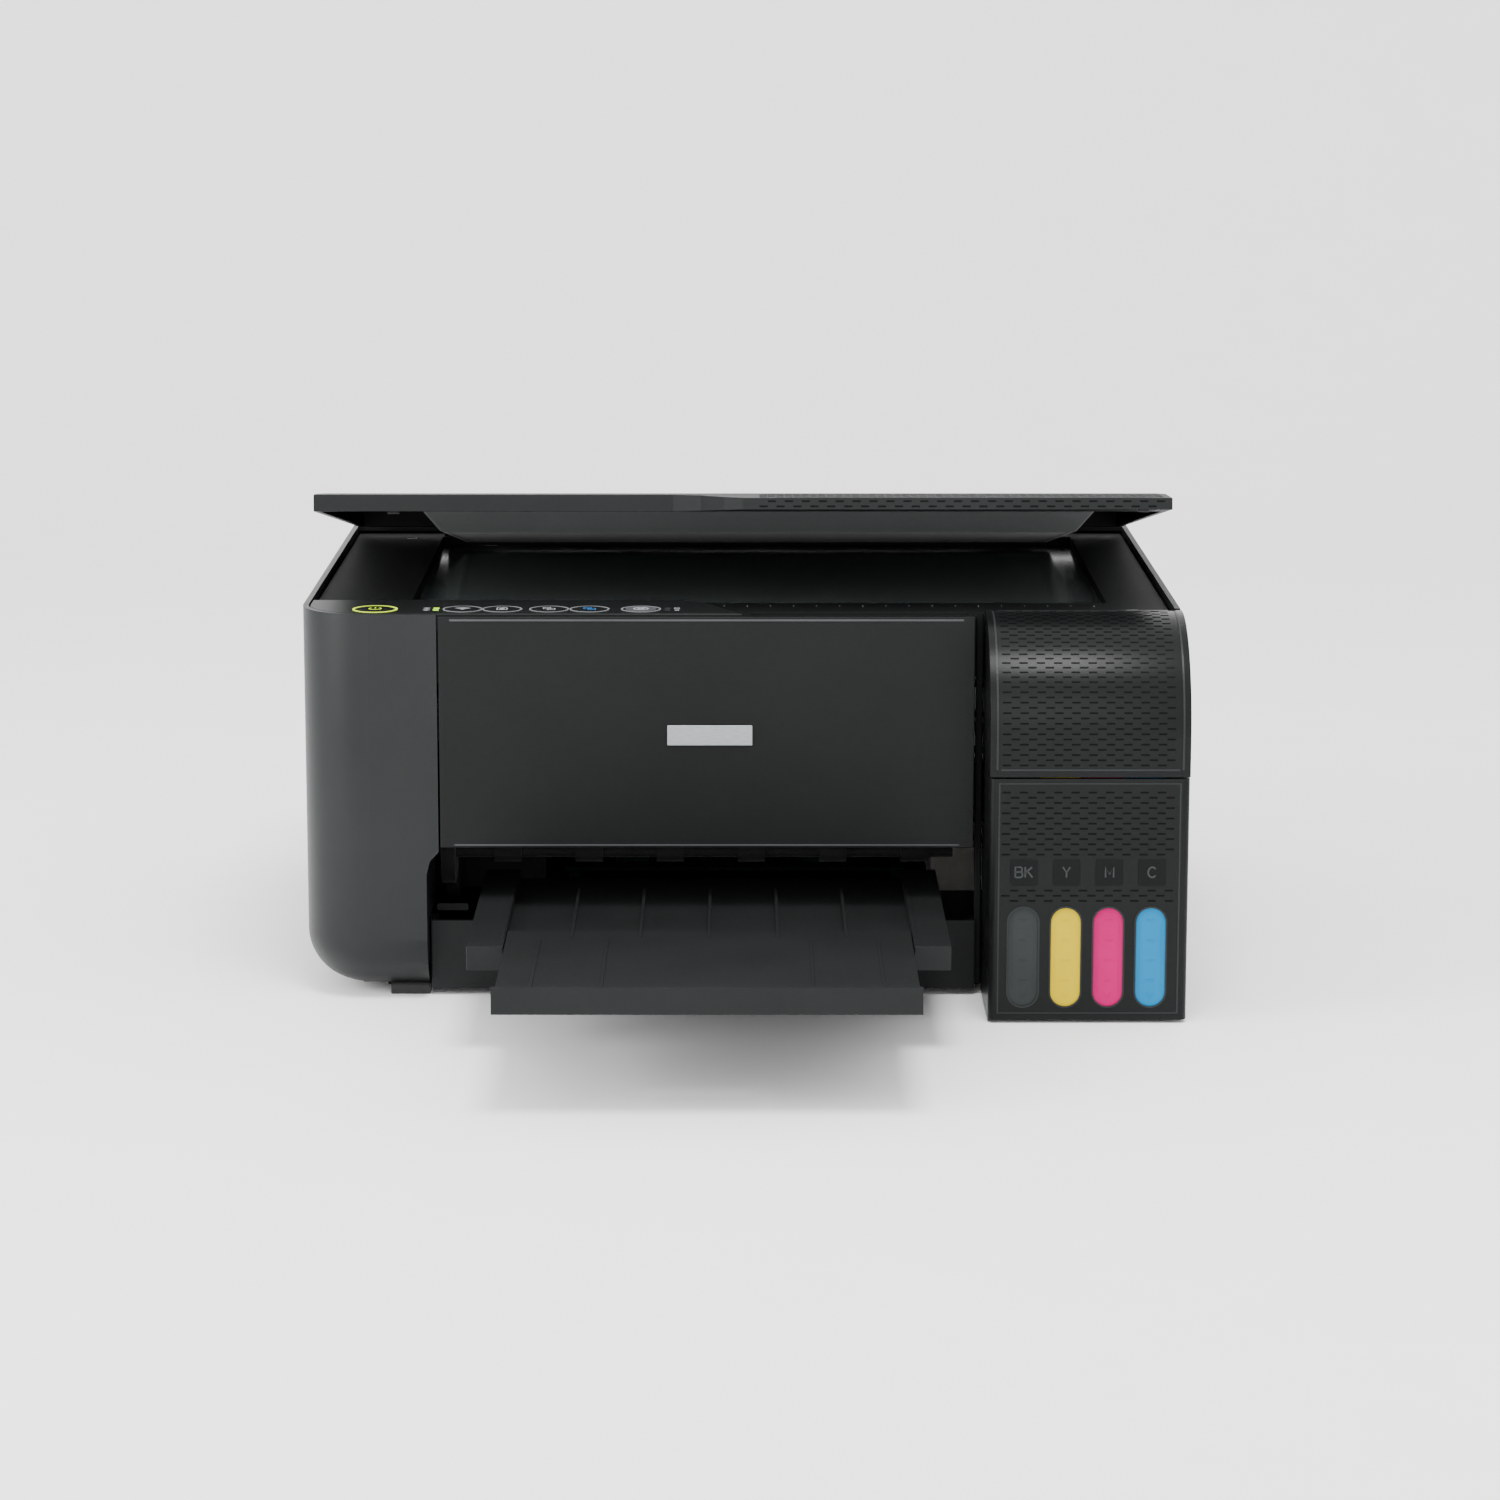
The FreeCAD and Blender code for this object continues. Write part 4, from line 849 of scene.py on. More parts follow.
@dataclass
class TankUnit:
    """Four ink tanks behind level windows, their front cover, caps and hinged cover."""

    arc: float = 46.0 * MM
    margin: float = 3.0 * MM
    inset: float = 14.5 * MM
    pitch: float = 17.83 * MM
    window_width: float = 13.1 * MM
    window_low: float = 7.0 * MM
    window_high: float = 50.0 * MM
    label_level: float = 65.0 * MM
    label_size: float = 11.5 * MM
    edge: float = 0.35 * MM
    bead_width: float = 0.8 * MM
    bead_rise: float = 0.2 * MM
    bead_steps: int = 30
    level_marks: int = 4
    level_first: float = 5.0 * MM
    level_pitch: float = 8.6 * MM
    level_half: float = 1.7 * MM
    window_depth: float = 0.5 * MM
    cap_ribs: int = 5
    inks: tuple[tuple[str, str, Finish, Body], ...] = (
        ("black", "BK", Finish.INK_BLACK, Body.CAP_BLACK),
        ("yellow", "Y", Finish.INK_YELLOW, Body.CAP_YELLOW),
        ("magenta", "M", Finish.INK_MAGENTA, Body.CAP_MAGENTA),
        ("cyan", "C", Finish.INK_CYAN, Body.CAP_CYAN))

    def build(self) -> None:
        """Dress the tank unit."""
        self.front_low, self.front_high = corners("tank_front_cover")
        self.lid_low, self.lid_high = corners("tank_cover")
        self.centres = [self.front_low.x + self.inset + i * self.pitch for i in range(len(self.inks))]
        dress("tank_front_cover", Finish.TANK_SKIN, self.edge)
        dress("tank_cover", Finish.TANK_SKIN, self.edge)
        self.cover_pattern()
        self.front_pattern()
        for number, (colour, code, ink, cap) in enumerate(self.inks):
            dress("ink_tank_" + colour, ink, 0.2 * MM)
            dress("tank_cap_" + colour, ink if colour != "black" else Finish.GREY, 0.4 * MM)
            self.window(colour, self.centres[number], ink)
            self.label(colour, code, self.centres[number])
            self.cap_grip(colour, self.centres[number], ink, cap)

    def cover_profile(self, v: float) -> tuple[float, float, float]:
        """Follow the cover's outer face.

        Args:
            v: Distance up from the seam, along the face.

        Returns:
            Its Y, its Z and its tilt there.
        """
        wall = self.lid_high.z - self.arc - self.lid_low.z
        if v < wall:
            return self.lid_low.y, self.lid_low.z + v, 0.0
        turn = min((v - wall) / self.arc, math.pi / 2)
        past = max(0.0, v - wall - self.arc * math.pi / 2)
        y = self.lid_low.y + self.arc * (1 - math.cos(turn)) + past
        return y, self.lid_high.z - self.arc * (1 - math.sin(turn)), turn

    def cover_face(self, u: float, v: float) -> Frame3:
        """A place on the cover's outer face."""
        y, z, turn = self.cover_profile(v)
        out = Vector((0, -math.cos(turn), math.sin(turn)))
        return Vector((u, y, z)), X_AXIS, out.cross(X_AXIS), out

    def cover_pattern(self) -> None:
        """Dashes and the edge bead over the hinged cover."""
        top = (self.lid_high.z - self.arc - self.lid_low.z) + self.arc * math.pi / 2
        left, right = self.lid_low.x + self.margin, self.lid_high.x - self.margin
        low, high = self.margin, top + 2 * MM
        dashes = Shape()
        clear = 2 * MM
        Dashes().cover(dashes, self.cover_face, (left + clear, right - clear), (low + clear, high - clear))
        # The dark dash finish paints the shade of the recessed dashes.
        dashes.piece("tank_cover_dashes", Finish.DASH_SHADE, Body.TANK_COVER)
        bead = Shape()
        self.bead_up(bead, left, low, high)
        self.bead_up(bead, right, low, high)
        for level in (low, high):
            place = self.cover_face((left + right) / 2, level)
            bead.bar(place, right - left, self.bead_width, self.bead_rise)
        # The bead's lighter finish paints the highlight along the cover's edges.
        bead.piece("tank_cover_bead", Finish.BEAD_HIGHLIGHT, Body.TANK_COVER)

    def bead_up(self, shape: Shape, x: float, low: float, high: float) -> None:
        """Add one upright run of the edge bead, bent over the cover's curve.

        Args:
            shape: The shape that takes it.
            x: Its place across.
            low: Where it starts, up from the seam.
            high: Where it ends.
        """
        sections = []
        for step in range(self.bead_steps + 1):
            at, along, _, out = self.cover_face(x, low + (high - low) * step / self.bead_steps)
            side = along * (self.bead_width / 2)
            sections.append([at + side * edge + out * lift * MM
                             for edge, lift in ((-1, -0.1), (1, -0.1), (1, 0.2), (-1, 0.2))])
        shape.sweep(sections)

    def front_face(self, u: float, v: float) -> Frame3:
        """A place on the lower cover's front."""
        return front_place(u, self.front_low.y, v)

    def front_pattern(self) -> None:
        """Dashes and the edge bead round the windows and labels."""
        side = self.margin + 1 * MM
        left, right = self.front_low.x + side, self.front_high.x - side
        low, high = self.front_low.z + self.margin, self.front_high.z - 2 * MM
        window, label = self.window_width / 2 + 1 * MM, self.label_size / 2 + 0.8 * MM
        bottom, top = self.window_low - 1 * MM, self.window_high + 1 * MM
        clear = [(x - window, bottom, x + window, top) for x in self.centres]
        bottom, top = self.label_level - label, self.label_level + label
        clear += [(x - label, bottom, x + label, top) for x in self.centres]
        dashes = Shape()
        span, rise = (left + 1 * MM, right - 1 * MM), (low + 2 * MM, high - 2 * MM)
        Dashes().cover(dashes, self.front_face, span, rise, clear)
        # The dark dash finish paints the shade of the recessed dashes.
        dashes.piece("tank_front_dashes", Finish.DASH_SHADE, Body.BASE)
        bead = Shape()
        ring = [(left, low), (right, low), (right, high), (left, high)]
        bead.stroke(ring, front_place(0, self.front_low.y, 0), self.bead_width, self.bead_rise, True)
        # The bead's lighter finish paints the highlight along the edges of the front.
        bead.piece("tank_front_bead", Finish.BEAD_HIGHLIGHT, Body.BASE)

    def window(self, colour: str, centre: float, ink: Finish) -> None:
        """Add the rim, level marks and low mark of one window.

        Args:
            colour: The ink's name.
            centre: The window's place across.
            ink: The ink's finish.
        """
        radius = self.window_width / 2
        low, high = self.window_low + radius, self.window_high - radius
        rim = [(centre + u, low + v) for u, v in ring_path(radius, 180, 360, 14)]
        rim += [(centre + u, high + v) for u, v in ring_path(radius, 0, 180, 14)]
        wall = front_place(0, self.front_low.y, 0)
        shape = Shape()
        shape.stroke(rim, wall, 0.7 * MM, 0.25 * MM, True)
        # The rim takes the bead's lighter finish, a painted highlight round the window.
        shape.piece("window_rim_" + colour, Finish.BEAD_HIGHLIGHT, Body.BASE)
        face = front_place(centre, self.front_low.y + self.window_depth, 0)
        marks = Shape()
        for number in range(self.level_marks):
            level = low + self.level_first + self.level_pitch * number
            marks.stroke([(-self.level_half, level), (self.level_half, level)], face, 0.4 * MM, 0.15 * MM)
        mark = [(-1.4 * MM, low - 0.6 * MM), (0.0, low - 2.4 * MM), (1.4 * MM, low - 0.6 * MM)]
        marks.stroke(mark, face, 0.45 * MM, 0.15 * MM)
        inner = [(-radius + 2.2 * MM, low), (-radius + 2.2 * MM, high)]
        for side in (-1, 1):
            marks.stroke([(side * u, v) for u, v in inner], face, 0.3 * MM, 0.1 * MM)
        marks.piece("window_marks_" + colour, ink, Body.BASE)

    def label(self, colour: str, code: str, centre: float) -> None:
        """Add the small plate above a window, with its ink code.

        Args:
            colour: The ink's name.
            code: The letters on it.
            centre: Its place across.
        """
        wall = front_place(centre, self.front_low.y, self.label_level)
        plate = Shape()
        rise = 0.25 * MM
        plate.rounded(wall, self.label_size, self.label_size, 1.2 * MM, rise)
        plate.piece("label_plate_" + colour, Finish.PLATE, Body.BASE, 0.1 * MM)
        text = Shape()
        face = front_place(centre, self.front_low.y - rise, self.label_level)
        letter(text, code, face, 4.4 * MM, 0.7 * MM, 0.12 * MM)
        text.piece("label_code_" + colour, Finish.LETTER, Body.BASE)

    def cap_grip(self, colour: str, centre: float, ink: Finish, body: Body) -> None:
        """Add grip ribs to a filler cap.

        Args:
            colour: The ink's name.
            centre: The cap's place across.
            ink: The ribs' finish.
            body: The cap's body.
        """
        low, high = corners("tank_cap_" + colour)
        places = [top_place(centre, low.y + (4 + 2.2 * n) * MM, high.z) for n in range(self.cap_ribs)]
        ribs("cap_ribs_" + colour, ink, body, places, (9 * MM, 0.9 * MM, 0.5 * MM))


@dataclass(frozen=True)
class Button:
    """One round button: its node, its finish, its icon's finish and the paths of its icon in millimetres."""

    body: Body
    finish: Finish
    icon_finish: Finish
    paths: tuple[tuple[tuple[tuple[float, float], ...], bool], ...]


def closed(*points: tuple[float, float]) -> tuple[tuple[tuple[float, float], ...], bool]:
    """A closed icon path."""
    return tuple(points), True


def opened(*points: tuple[float, float]) -> tuple[tuple[tuple[float, float], ...], bool]:
    """An open icon path."""
    return tuple(points), False


SHEET_BACK = closed((-2.6, -0.6), (0.6, -0.6), (0.6, 3.0), (-2.6, 3.0))
SHEET_FRONT = closed((-0.6, -3.0), (2.6, -3.0), (2.6, 0.6), (-0.6, 0.6))
BUTTONS = (
    Button(Body.POWER, Finish.PANEL, Finish.POWER_LIGHT,
           (opened(*ring_path(2.7, -230, 50, 20)), opened((0.0, 0.6), (0.0, 3.5)))),
    Button(Body.WIRELESS, Finish.PANEL, Finish.PRINT,
           (opened(*ring_path(1.6, 45, 135, 8, (0, -2.2))), opened(*ring_path(3.1, 45, 135, 10, (0, -2.2))),
            opened(*ring_path(4.6, 45, 135, 12, (0, -2.2))),
            closed(*ring_path(0.3, centre=(0, -2.2), steps=8)))),
    Button(Body.STATUS, Finish.PANEL, Finish.PRINT,
           (closed((-2.2, -3.0), (2.2, -3.0), (2.2, 1.6), (0.9, 3.0), (-2.2, 3.0)),
            opened((-1.1, 0.9), (1.1, 0.9)), opened((-1.1, -0.5), (1.1, -0.5)),
            opened((-1.1, -1.8), (1.1, -1.8)))),
    Button(Body.MONO, Finish.PANEL, Finish.PRINT, (SHEET_BACK, SHEET_FRONT)),
    Button(Body.COLOUR, Finish.PANEL, Finish.PRINT_BLUE, (SHEET_BACK, SHEET_FRONT)),
    Button(Body.STOP, Finish.GREY, Finish.PRINT,
           (closed(*ring_path(3.2, steps=24)), opened((-1.5, -1.5), (1.5, 1.5)),
            opened((-1.5, 1.5), (1.5, -1.5)))),
)


@dataclass
class ScannerUnit:
    """Bed, glass, control panel, front panel and the bar that scans."""

    ring_width: float = 0.7 * MM
    ring_rise: float = 0.22 * MM
    lit_ring: float = 1.3
    icon_scale: float = 0.95 * MM
    icon_line: float = 0.45 * MM
    print_rise: float = 0.06 * MM
    mark_line: float = 0.3 * MM
    light_rows: tuple[float, float] = (-122.8, -117.8)
    scale_marks: int = 31
    long_mark: float = 3.2
    short_mark: float = 1.8

    def build(self) -> None:
        """Dress the scanner unit."""
        dress_all((("scanner_case", Finish.BLACK, 0.4), ("scanner_frame", Finish.BED, 0.35),
                   ("scanner_glass", Finish.GLASS, 0), ("scan_rail", Finish.SHAFT, 0),
                   ("scan_carriage", Finish.BLACK, 0.4), ("control_panel", Finish.PANEL, 0.5),
                   ("front_panel", Finish.PANEL, 0.4), ("badge_plate", Finish.SILVER, 0.25)))
        self.buttons()
        self.lights()
        self.bed_marks()
        self.scan_bar()
        self.front_edge()

    def buttons(self) -> None:
        """Buttons with a ring round each and an icon on top."""
        panel_top = corners("control_panel")[1].z
        for button in BUTTONS:
            name = button.body.value
            low, high = corners(name)
            middle = (low + high) / 2
            radius = (high.x - low.x) / 2
            dress(name, button.finish, 0.25 * MM)
            ring = Shape()
            lit = button.body is Body.POWER
            path = ring_path(radius + self.ring_width, steps=40)
            ring.stroke(path, top_place(middle.x, middle.y, panel_top),
                        self.ring_width * (self.lit_ring if lit else 1.0), self.ring_rise, True)
            finish = Finish.POWER_LIGHT if lit else Finish.RING
            ring.piece(name + "_ring", finish, Body.SCANNER)
            icon = Shape()
            for path, is_closed in button.paths:
                scaled = [(u * self.icon_scale, v * self.icon_scale) for u, v in path]
                icon.stroke(scaled, top_place(middle.x, middle.y, high.z), self.icon_line, self.print_rise,
                            is_closed)
            icon.piece(name + "_icon", button.icon_finish, button.body)

    def lights(self) -> None:
        """Small indicators with their icons."""
        top = corners("control_panel")[1].z
        upper, lower = self.light_rows
        for name, x, y, finish in (("wireless_light_1", -129.5, upper, Finish.GREEN_LIGHT),
                                   ("wireless_light_2", -129.5, lower, Finish.GREEN_LIGHT),
                                   ("ink_light", -31.0, upper, Finish.PRINT_DIM),
                                   ("paper_light", -31.0, lower, Finish.PRINT_DIM)):
            lens = Shape()
            lens.rounded(top_place(x * MM, y * MM, top), 2.6 * MM, 1.2 * MM, 0.55 * MM, 0.15 * MM)
            lens.piece(name, finish, Body.SCANNER, 0.05 * MM)
        marks = Shape()
        for y in self.light_rows:
            for radius in (0.7, 1.4, 2.1):
                self.mark(marks, ring_path(radius, 45, 135, 8, (0, -1.1)), (-133.6, y), top, False)
        drop = [(0, 1.5), (0.9, 0), (0.6, -0.9), (0, -1.2), (-0.6, -0.9), (-0.9, 0)]
        sheet = [(-1, -1.3), (1, -1.3), (1, 1.3), (-1, 1.3)]
        for path, y in ((drop, upper), (sheet, lower)):
            self.mark(marks, path, (-27, y), top, True)
        marks.piece("panel_marks", Finish.PRINT, Body.SCANNER)

    def mark(self, shape: Shape, path: Iterable[Flat], at: Flat, top: float, closed_path: bool) -> None:
        """Add a small printed mark to the panel.

        Args:
            shape: The shape that takes it.
            path: The mark in millimetres.
            at: Its place across and front to back, in millimetres.
            top: The height of the surface.
            closed_path: Whether its last point joins its first.
        """
        place = top_place(at[0] * MM, at[1] * MM, top)
        shape.stroke(in_mm(path), place, self.mark_line, self.print_rise, closed_path)

    def bed_marks(self) -> None:
        """Size marks along the glass's front edge, the corner arrow and the sheet mark."""
        low, high = corners("scanner_glass")
        top = corners("scanner_frame")[1].z
        marks = Shape()
        for number in range(self.scale_marks):
            x = low.x + 4 * MM + number * 10 * MM - 2 * MM
            if x < high.x:
                long = self.long_mark if number % 5 == 0 else self.short_mark
                place = top_place(x, low.y - 3.0 * MM, top)
                marks.stroke([(0, 0), (0, -long * MM)], place, self.mark_line, self.print_rise)
        arrow = in_mm(((-3.0, 0.0), (1.4, 1.9), (1.4, -1.9)))
        place = top_place(low.x - 8 * MM, high.y - 6 * MM, top)
        marks.stroke(arrow, place, 0.5 * MM, self.print_rise, True)
        sheet = in_mm(((-2.2, -3), (2.2, -3), (2.2, 3), (-2.2, 3)))
        place = top_place(168.5 * MM, -103.5 * MM, top)
        marks.stroke(sheet, place, 0.45 * MM, self.print_rise, True)
        marks.piece("bed_marks", Finish.PRINT, Body.SCANNER)

    def scan_bar(self) -> None:
        """The lamp window along the scanning bar."""
        low, high = corners("scan_carriage")
        window = Shape()
        place = deck_place((low.x + high.x) / 2, (low.y + high.y) / 2, high.z)
        window.rounded(place, (high.y - low.y) * 0.92, 7 * MM, 1.5 * MM, 0.2 * MM)
        window.piece("scan_lamp_window", Finish.PRINT, Body.SCAN_BAR, 0.06 * MM)

    def front_edge(self) -> None:
        """The pale line along the front panel's top edge, a painted highlight of the lit ledge, with a pale
        line near its foot and the badge's frame.
        """
        low, high = corners("front_panel")
        edge = Shape()
        middle, length = (low.x + high.x) / 2, high.x - low.x - 3 * MM
        # Painted highlight: a pale line on the black panel for the lit ledge at its top.
        edge.bar(front_place(middle, low.y, high.z - 1.4 * MM), length, 0.9 * MM, 0.3 * MM)
        edge.bar(front_place(middle, low.y, low.z + 1.2 * MM), length, 0.6 * MM, 0.2 * MM)
        edge.piece("front_panel_line", Finish.GREY, Body.SCANNER)
        low, high = corners("badge_plate")
        rim = Shape()
        inset = 0.6 * MM
        u, v = (high.x - low.x) / 2 - inset, (high.z - low.z) / 2 - inset
        place = front_place((low.x + high.x) / 2, low.y, (low.z + high.z) / 2)
        rim.stroke([(-u, -v), (u, -v), (u, v), (-u, v)], place, 0.5 * MM, 0.15 * MM, True)
        rim.piece("badge_rim", Finish.SILVER, Body.SCANNER)


@dataclass
class DocumentCover:
    """The cover, standing a little open, with its patterned front edge and its mat."""

    lip: float = 5.0 * MM
    slope_run: float = 30.0 * MM
    slope_drop: float = 2.5 * MM
    lip_gap: float = 4.1 * MM
    pattern_left: float = 8.0 * MM
    dash_rise: float = 0.1 * MM
    pad_side: float = 9.0 * MM
    pad_front: float = 26.0 * MM
    pad_rear: float = 3.0 * MM

    def build(self) -> None:
        """Dress the cover."""
        hinge = record_joint("cover_hinge")
        _, y, z = hinge["pos_m"]
        self.tilt = Tilt(math.radians(hinge["range_deg"][0]), y, z)
        dress("document_cover", Finish.CHARCOAL, 0.5 * MM)
        self.lip_pattern()
        self.mat_edge()
        self.bumpers()

    def lip_face(self, u: float, v: float) -> Frame3:
        """A place on the closed cover's front lip, turned to rest."""
        return self.tilt.place(front_place(u, self.front, v))

    def slope_face(self, u: float, v: float) -> Frame3:
        """Find a place on the sloping top behind the lip, turned to rest.

        Args:
            u: Position across.
            v: Distance up the slope.

        Returns:
            The place.
        """
        rise = self.top - self.slope_drop - self.lip_top
        length = math.hypot(self.slope_run, rise)
        up = Vector((0, self.slope_run / length, rise / length))
        at = Vector((u, self.front, self.lip_top)) + up * v
        return self.tilt.place((at, X_AXIS, up, X_AXIS.cross(up)))

    def lip_pattern(self) -> None:
        """Dashes on the right part of the front edge and slope, with a bead along the front of the slope."""
        low, high = self.closed_box("document_cover")
        self.front, self.top = low.y, high.z
        self.bottom = corners("scanner_frame")[1].z + self.lip_gap
        self.lip_top = self.bottom + self.lip
        left, right = self.pattern_left, high.x - 3 * MM
        dashes = Shape()
        pattern = Dashes(height=self.dash_rise)
        pattern.cover(dashes, self.slope_face, (left, right), (3 * MM, self.slope_run - 2 * MM))
        pattern.cover(dashes, self.lip_face, (left, right), (self.bottom + 1.4 * MM, self.lip_top - 1 * MM))
        # The dark dash finish paints the shade of the recessed dashes.
        dashes.piece("cover_dashes", Finish.DASH_SHADE, Body.COVER)
        bead = Shape()
        bead.bar(self.slope_face((left + right) / 2, 0.9 * MM), right - left, 0.7 * MM, 0.15 * MM)
        # The bead's lighter finish paints the highlight along the front of the slope.
        bead.piece("cover_bead", Finish.BEAD_HIGHLIGHT, Body.COVER)

    def closed_box(self, node: str) -> tuple[Vector, Vector]:
        """Measure a node of the cover as if the cover were closed.

        Args:
            node: The node's name.

        Returns:
            Its lowest and highest corners.
        """
        back = self.tilt.matrix().inverted()
        places = [back @ vertex.co for vertex in frame["nodes"][node].data.vertices]
        low, high = (Vector([pick(place[i] for place in places) for i in range(3)]) for pick in (min, max))
        return low, high

    def mat_edge(self) -> None:
        """The mat: a foam pad whose edges slope in below the cover, with a seam round its face."""
        low, high = self.closed_box("document_mat")
        turn = self.tilt.matrix()
        pad = Shape()
        upper = [(low.x, low.y), (high.x, low.y), (high.x, high.y), (low.x, high.y)]
        left, right = low.x + self.pad_side, high.x - self.pad_side
        front, rear = low.y + self.pad_front, high.y - self.pad_rear
        lower = [(left, front), (right, front), (right, rear), (left, rear)]
        pad.points = [turn @ Vector((u, v, z))
                      for outline, z in ((lower, low.z), (upper, high.z)) for u, v in outline]
        pad.faces = [(3, 2, 1, 0), (4, 5, 6, 7)]
        pad.faces += [(i, (i + 1) % 4, 4 + (i + 1) % 4, 4 + i) for i in range(4)]
        # The pad's lifted grey is partly painted light on its shaded underside.
        mat = pad.piece("mat_pad", Finish.MAT_LIT, Body.COVER, 1.2 * MM)
        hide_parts("document_mat")
        under = self.tilt.place((Vector((0, 0, low.z)), X_AXIS, -Y_AXIS, -Z_AXIS))
        ring = [(u + (3 if u < 0 else -3) * MM, -v - (3 if v < 0 else -3) * MM) for u, v in lower]
        seam = Shape()
        seam.stroke(ring, under, 0.7 * MM, 0.12 * MM, True)
        seam.piece("mat_seam", Finish.FOAM, Body.COVER)

    def bumpers(self) -> None:
        """Soft stops under the cover's front corners."""
        pads = Shape()
        for x in (-150 * MM, 172 * MM):
            y = self.front + (30 if x < 0 else 4) * MM
            under = (Vector((x, y, self.bottom + 0.05 * MM)), X_AXIS, -Y_AXIS, -Z_AXIS)
            pads.rounded(self.tilt.place(under), 5 * MM, 3 * MM, 1.2 * MM, 0.9 * MM)
        pads.piece("cover_bumpers", Finish.RUBBER, Body.COVER, 0.2 * MM)


@dataclass
class Casework:
    """Lower case, side housings, rear housing with its sockets, and feet."""

    pin_inset: float = 6.3 * MM
    pin_radius: float = 1.3 * MM
    pin_depth: float = 12.5 * MM
    pin_length: float = 9.2 * MM
    screw_places: tuple[Flat, ...] = ((-152, 24), (152, 24), (-152, 148), (152, 148))
    screw_radius: float = 3.0 * MM
    screw_line: float = 0.6 * MM
    rear_rise: float = 0.12 * MM
    louvre_rows: int = 7
    louvre_low: float = 70
    louvre_pitch: float = 5
    louvre_x: float = 60 * MM
    louvre_length: float = 70 * MM
    louvre_width: float = 1.4 * MM

    def build(self) -> None:
        """Dress the outside."""
        # The left side housing takes the lighter charcoal copy: painted light on its lit side.
        dress_all((("lower_case", Finish.CHARCOAL, 0.5), ("left_side_housing", Finish.LIT_COLUMN, 0.45),
                   ("right_side_housing", Finish.CHARCOAL, 0.45), ("rear_housing", Finish.CHARCOAL, 0.45),
                   ("rubber_feet", Finish.RUBBER, 0.5), ("power_inlet", Finish.BLACK, 0.2),
                   ("usb_port", Finish.STEEL, 0.15)))
        self.opening_lip()
        self.gap_liner()
        self.inlet_pins()
        self.screws()
        self.louvres()

    def opening_lip(self) -> None:
        """The grey finger lip at the left of the output opening."""
        high = corners("lower_case")[1]
        side = corners("left_side_housing")[0]
        lip = Shape()
        place = front_place(side.x + 61 * MM, side.y + 53.5 * MM, high.z - 3.2 * MM)
        lip.rounded(place, 14 * MM, 3.2 * MM, 1.0 * MM, 0.4 * MM)
        lip.piece("opening_lip", Finish.GREY, Body.BASE, 0.15 * MM)

    def gap_liner(self) -> None:
        """A dark block in the gap between the front panel and the tanks: painted shade, standing in for the
        shadow down in that gap.
        """
        panel, tank = corners("front_panel")[1], corners("tank_front_cover")[0]
        top = corners("tank_cover")[1]
        web = Shape()
        x = (panel.x + tank.x) / 2 + 0.4 * MM
        y = (panel.y + top.y) / 2 + 1.2 * MM
        web.rounded(top_place(x, y, tank.z + 4 * MM), 3.0 * MM, top.y - panel.y - 3 * MM, 0.8 * MM,
                    top.z - tank.z - 6 * MM)
        web.piece("gap_liner", Finish.BED, Body.BASE)

    def inlet_pins(self) -> None:
        """Plated sleeves over the inlet's two pins."""
        low, high = corners("power_inlet")
        middle = (low.z + high.z) / 2
        for number, x in enumerate((low.x + self.pin_inset, high.x - self.pin_inset)):
            ring = ring_path(self.pin_radius, steps=20)
            shape = Shape()
            base = [Vector((x + u, high.y - self.pin_depth, middle + v)) for u, v in reversed(ring)]
            shape.prism(base, Vector((0, self.pin_length, 0)), 0.15)
            shape.piece(f"inlet_pin_{number + 1}", Finish.SHAFT, Body.BASE, 0.15 * MM)

    def screws(self) -> None:
        """Recess rings and cross slots where screws hold the rear housing on."""
        high = corners("rear_housing")[1]
        cross = (((-1.6, 0), (1.6, 0)), ((0, -1.6), (0, 1.6)))
        for number, (x, z) in enumerate(self.screw_places):
            at = rear_place(x * MM, high.y, z * MM)
            head = Shape()
            head.stroke(ring_path(self.screw_radius, steps=28), at, self.screw_line, self.rear_rise, True)
            for slot in cross:
                head.stroke(in_mm(slot), at, self.screw_line, self.rear_rise)
            head.piece(f"rear_screw_{number + 1}", Finish.SHAFT, Body.BASE)

    def louvres(self) -> None:
        """Louvres of the rear wall, as rows of low ribs."""
        high = corners("rear_housing")[1]
        levels = [(self.louvre_low + self.louvre_pitch * row) * MM for row in range(self.louvre_rows)]
        places = [rear_place(self.louvre_x, high.y, level) for level in levels]
        size = (self.louvre_length, self.louvre_width, self.rear_rise)
        # The ribs take the dark dash finish: painted shade for the vent slots.
        ribs("rear_louvres", Finish.DASH_SHADE, Body.BASE, places, size)


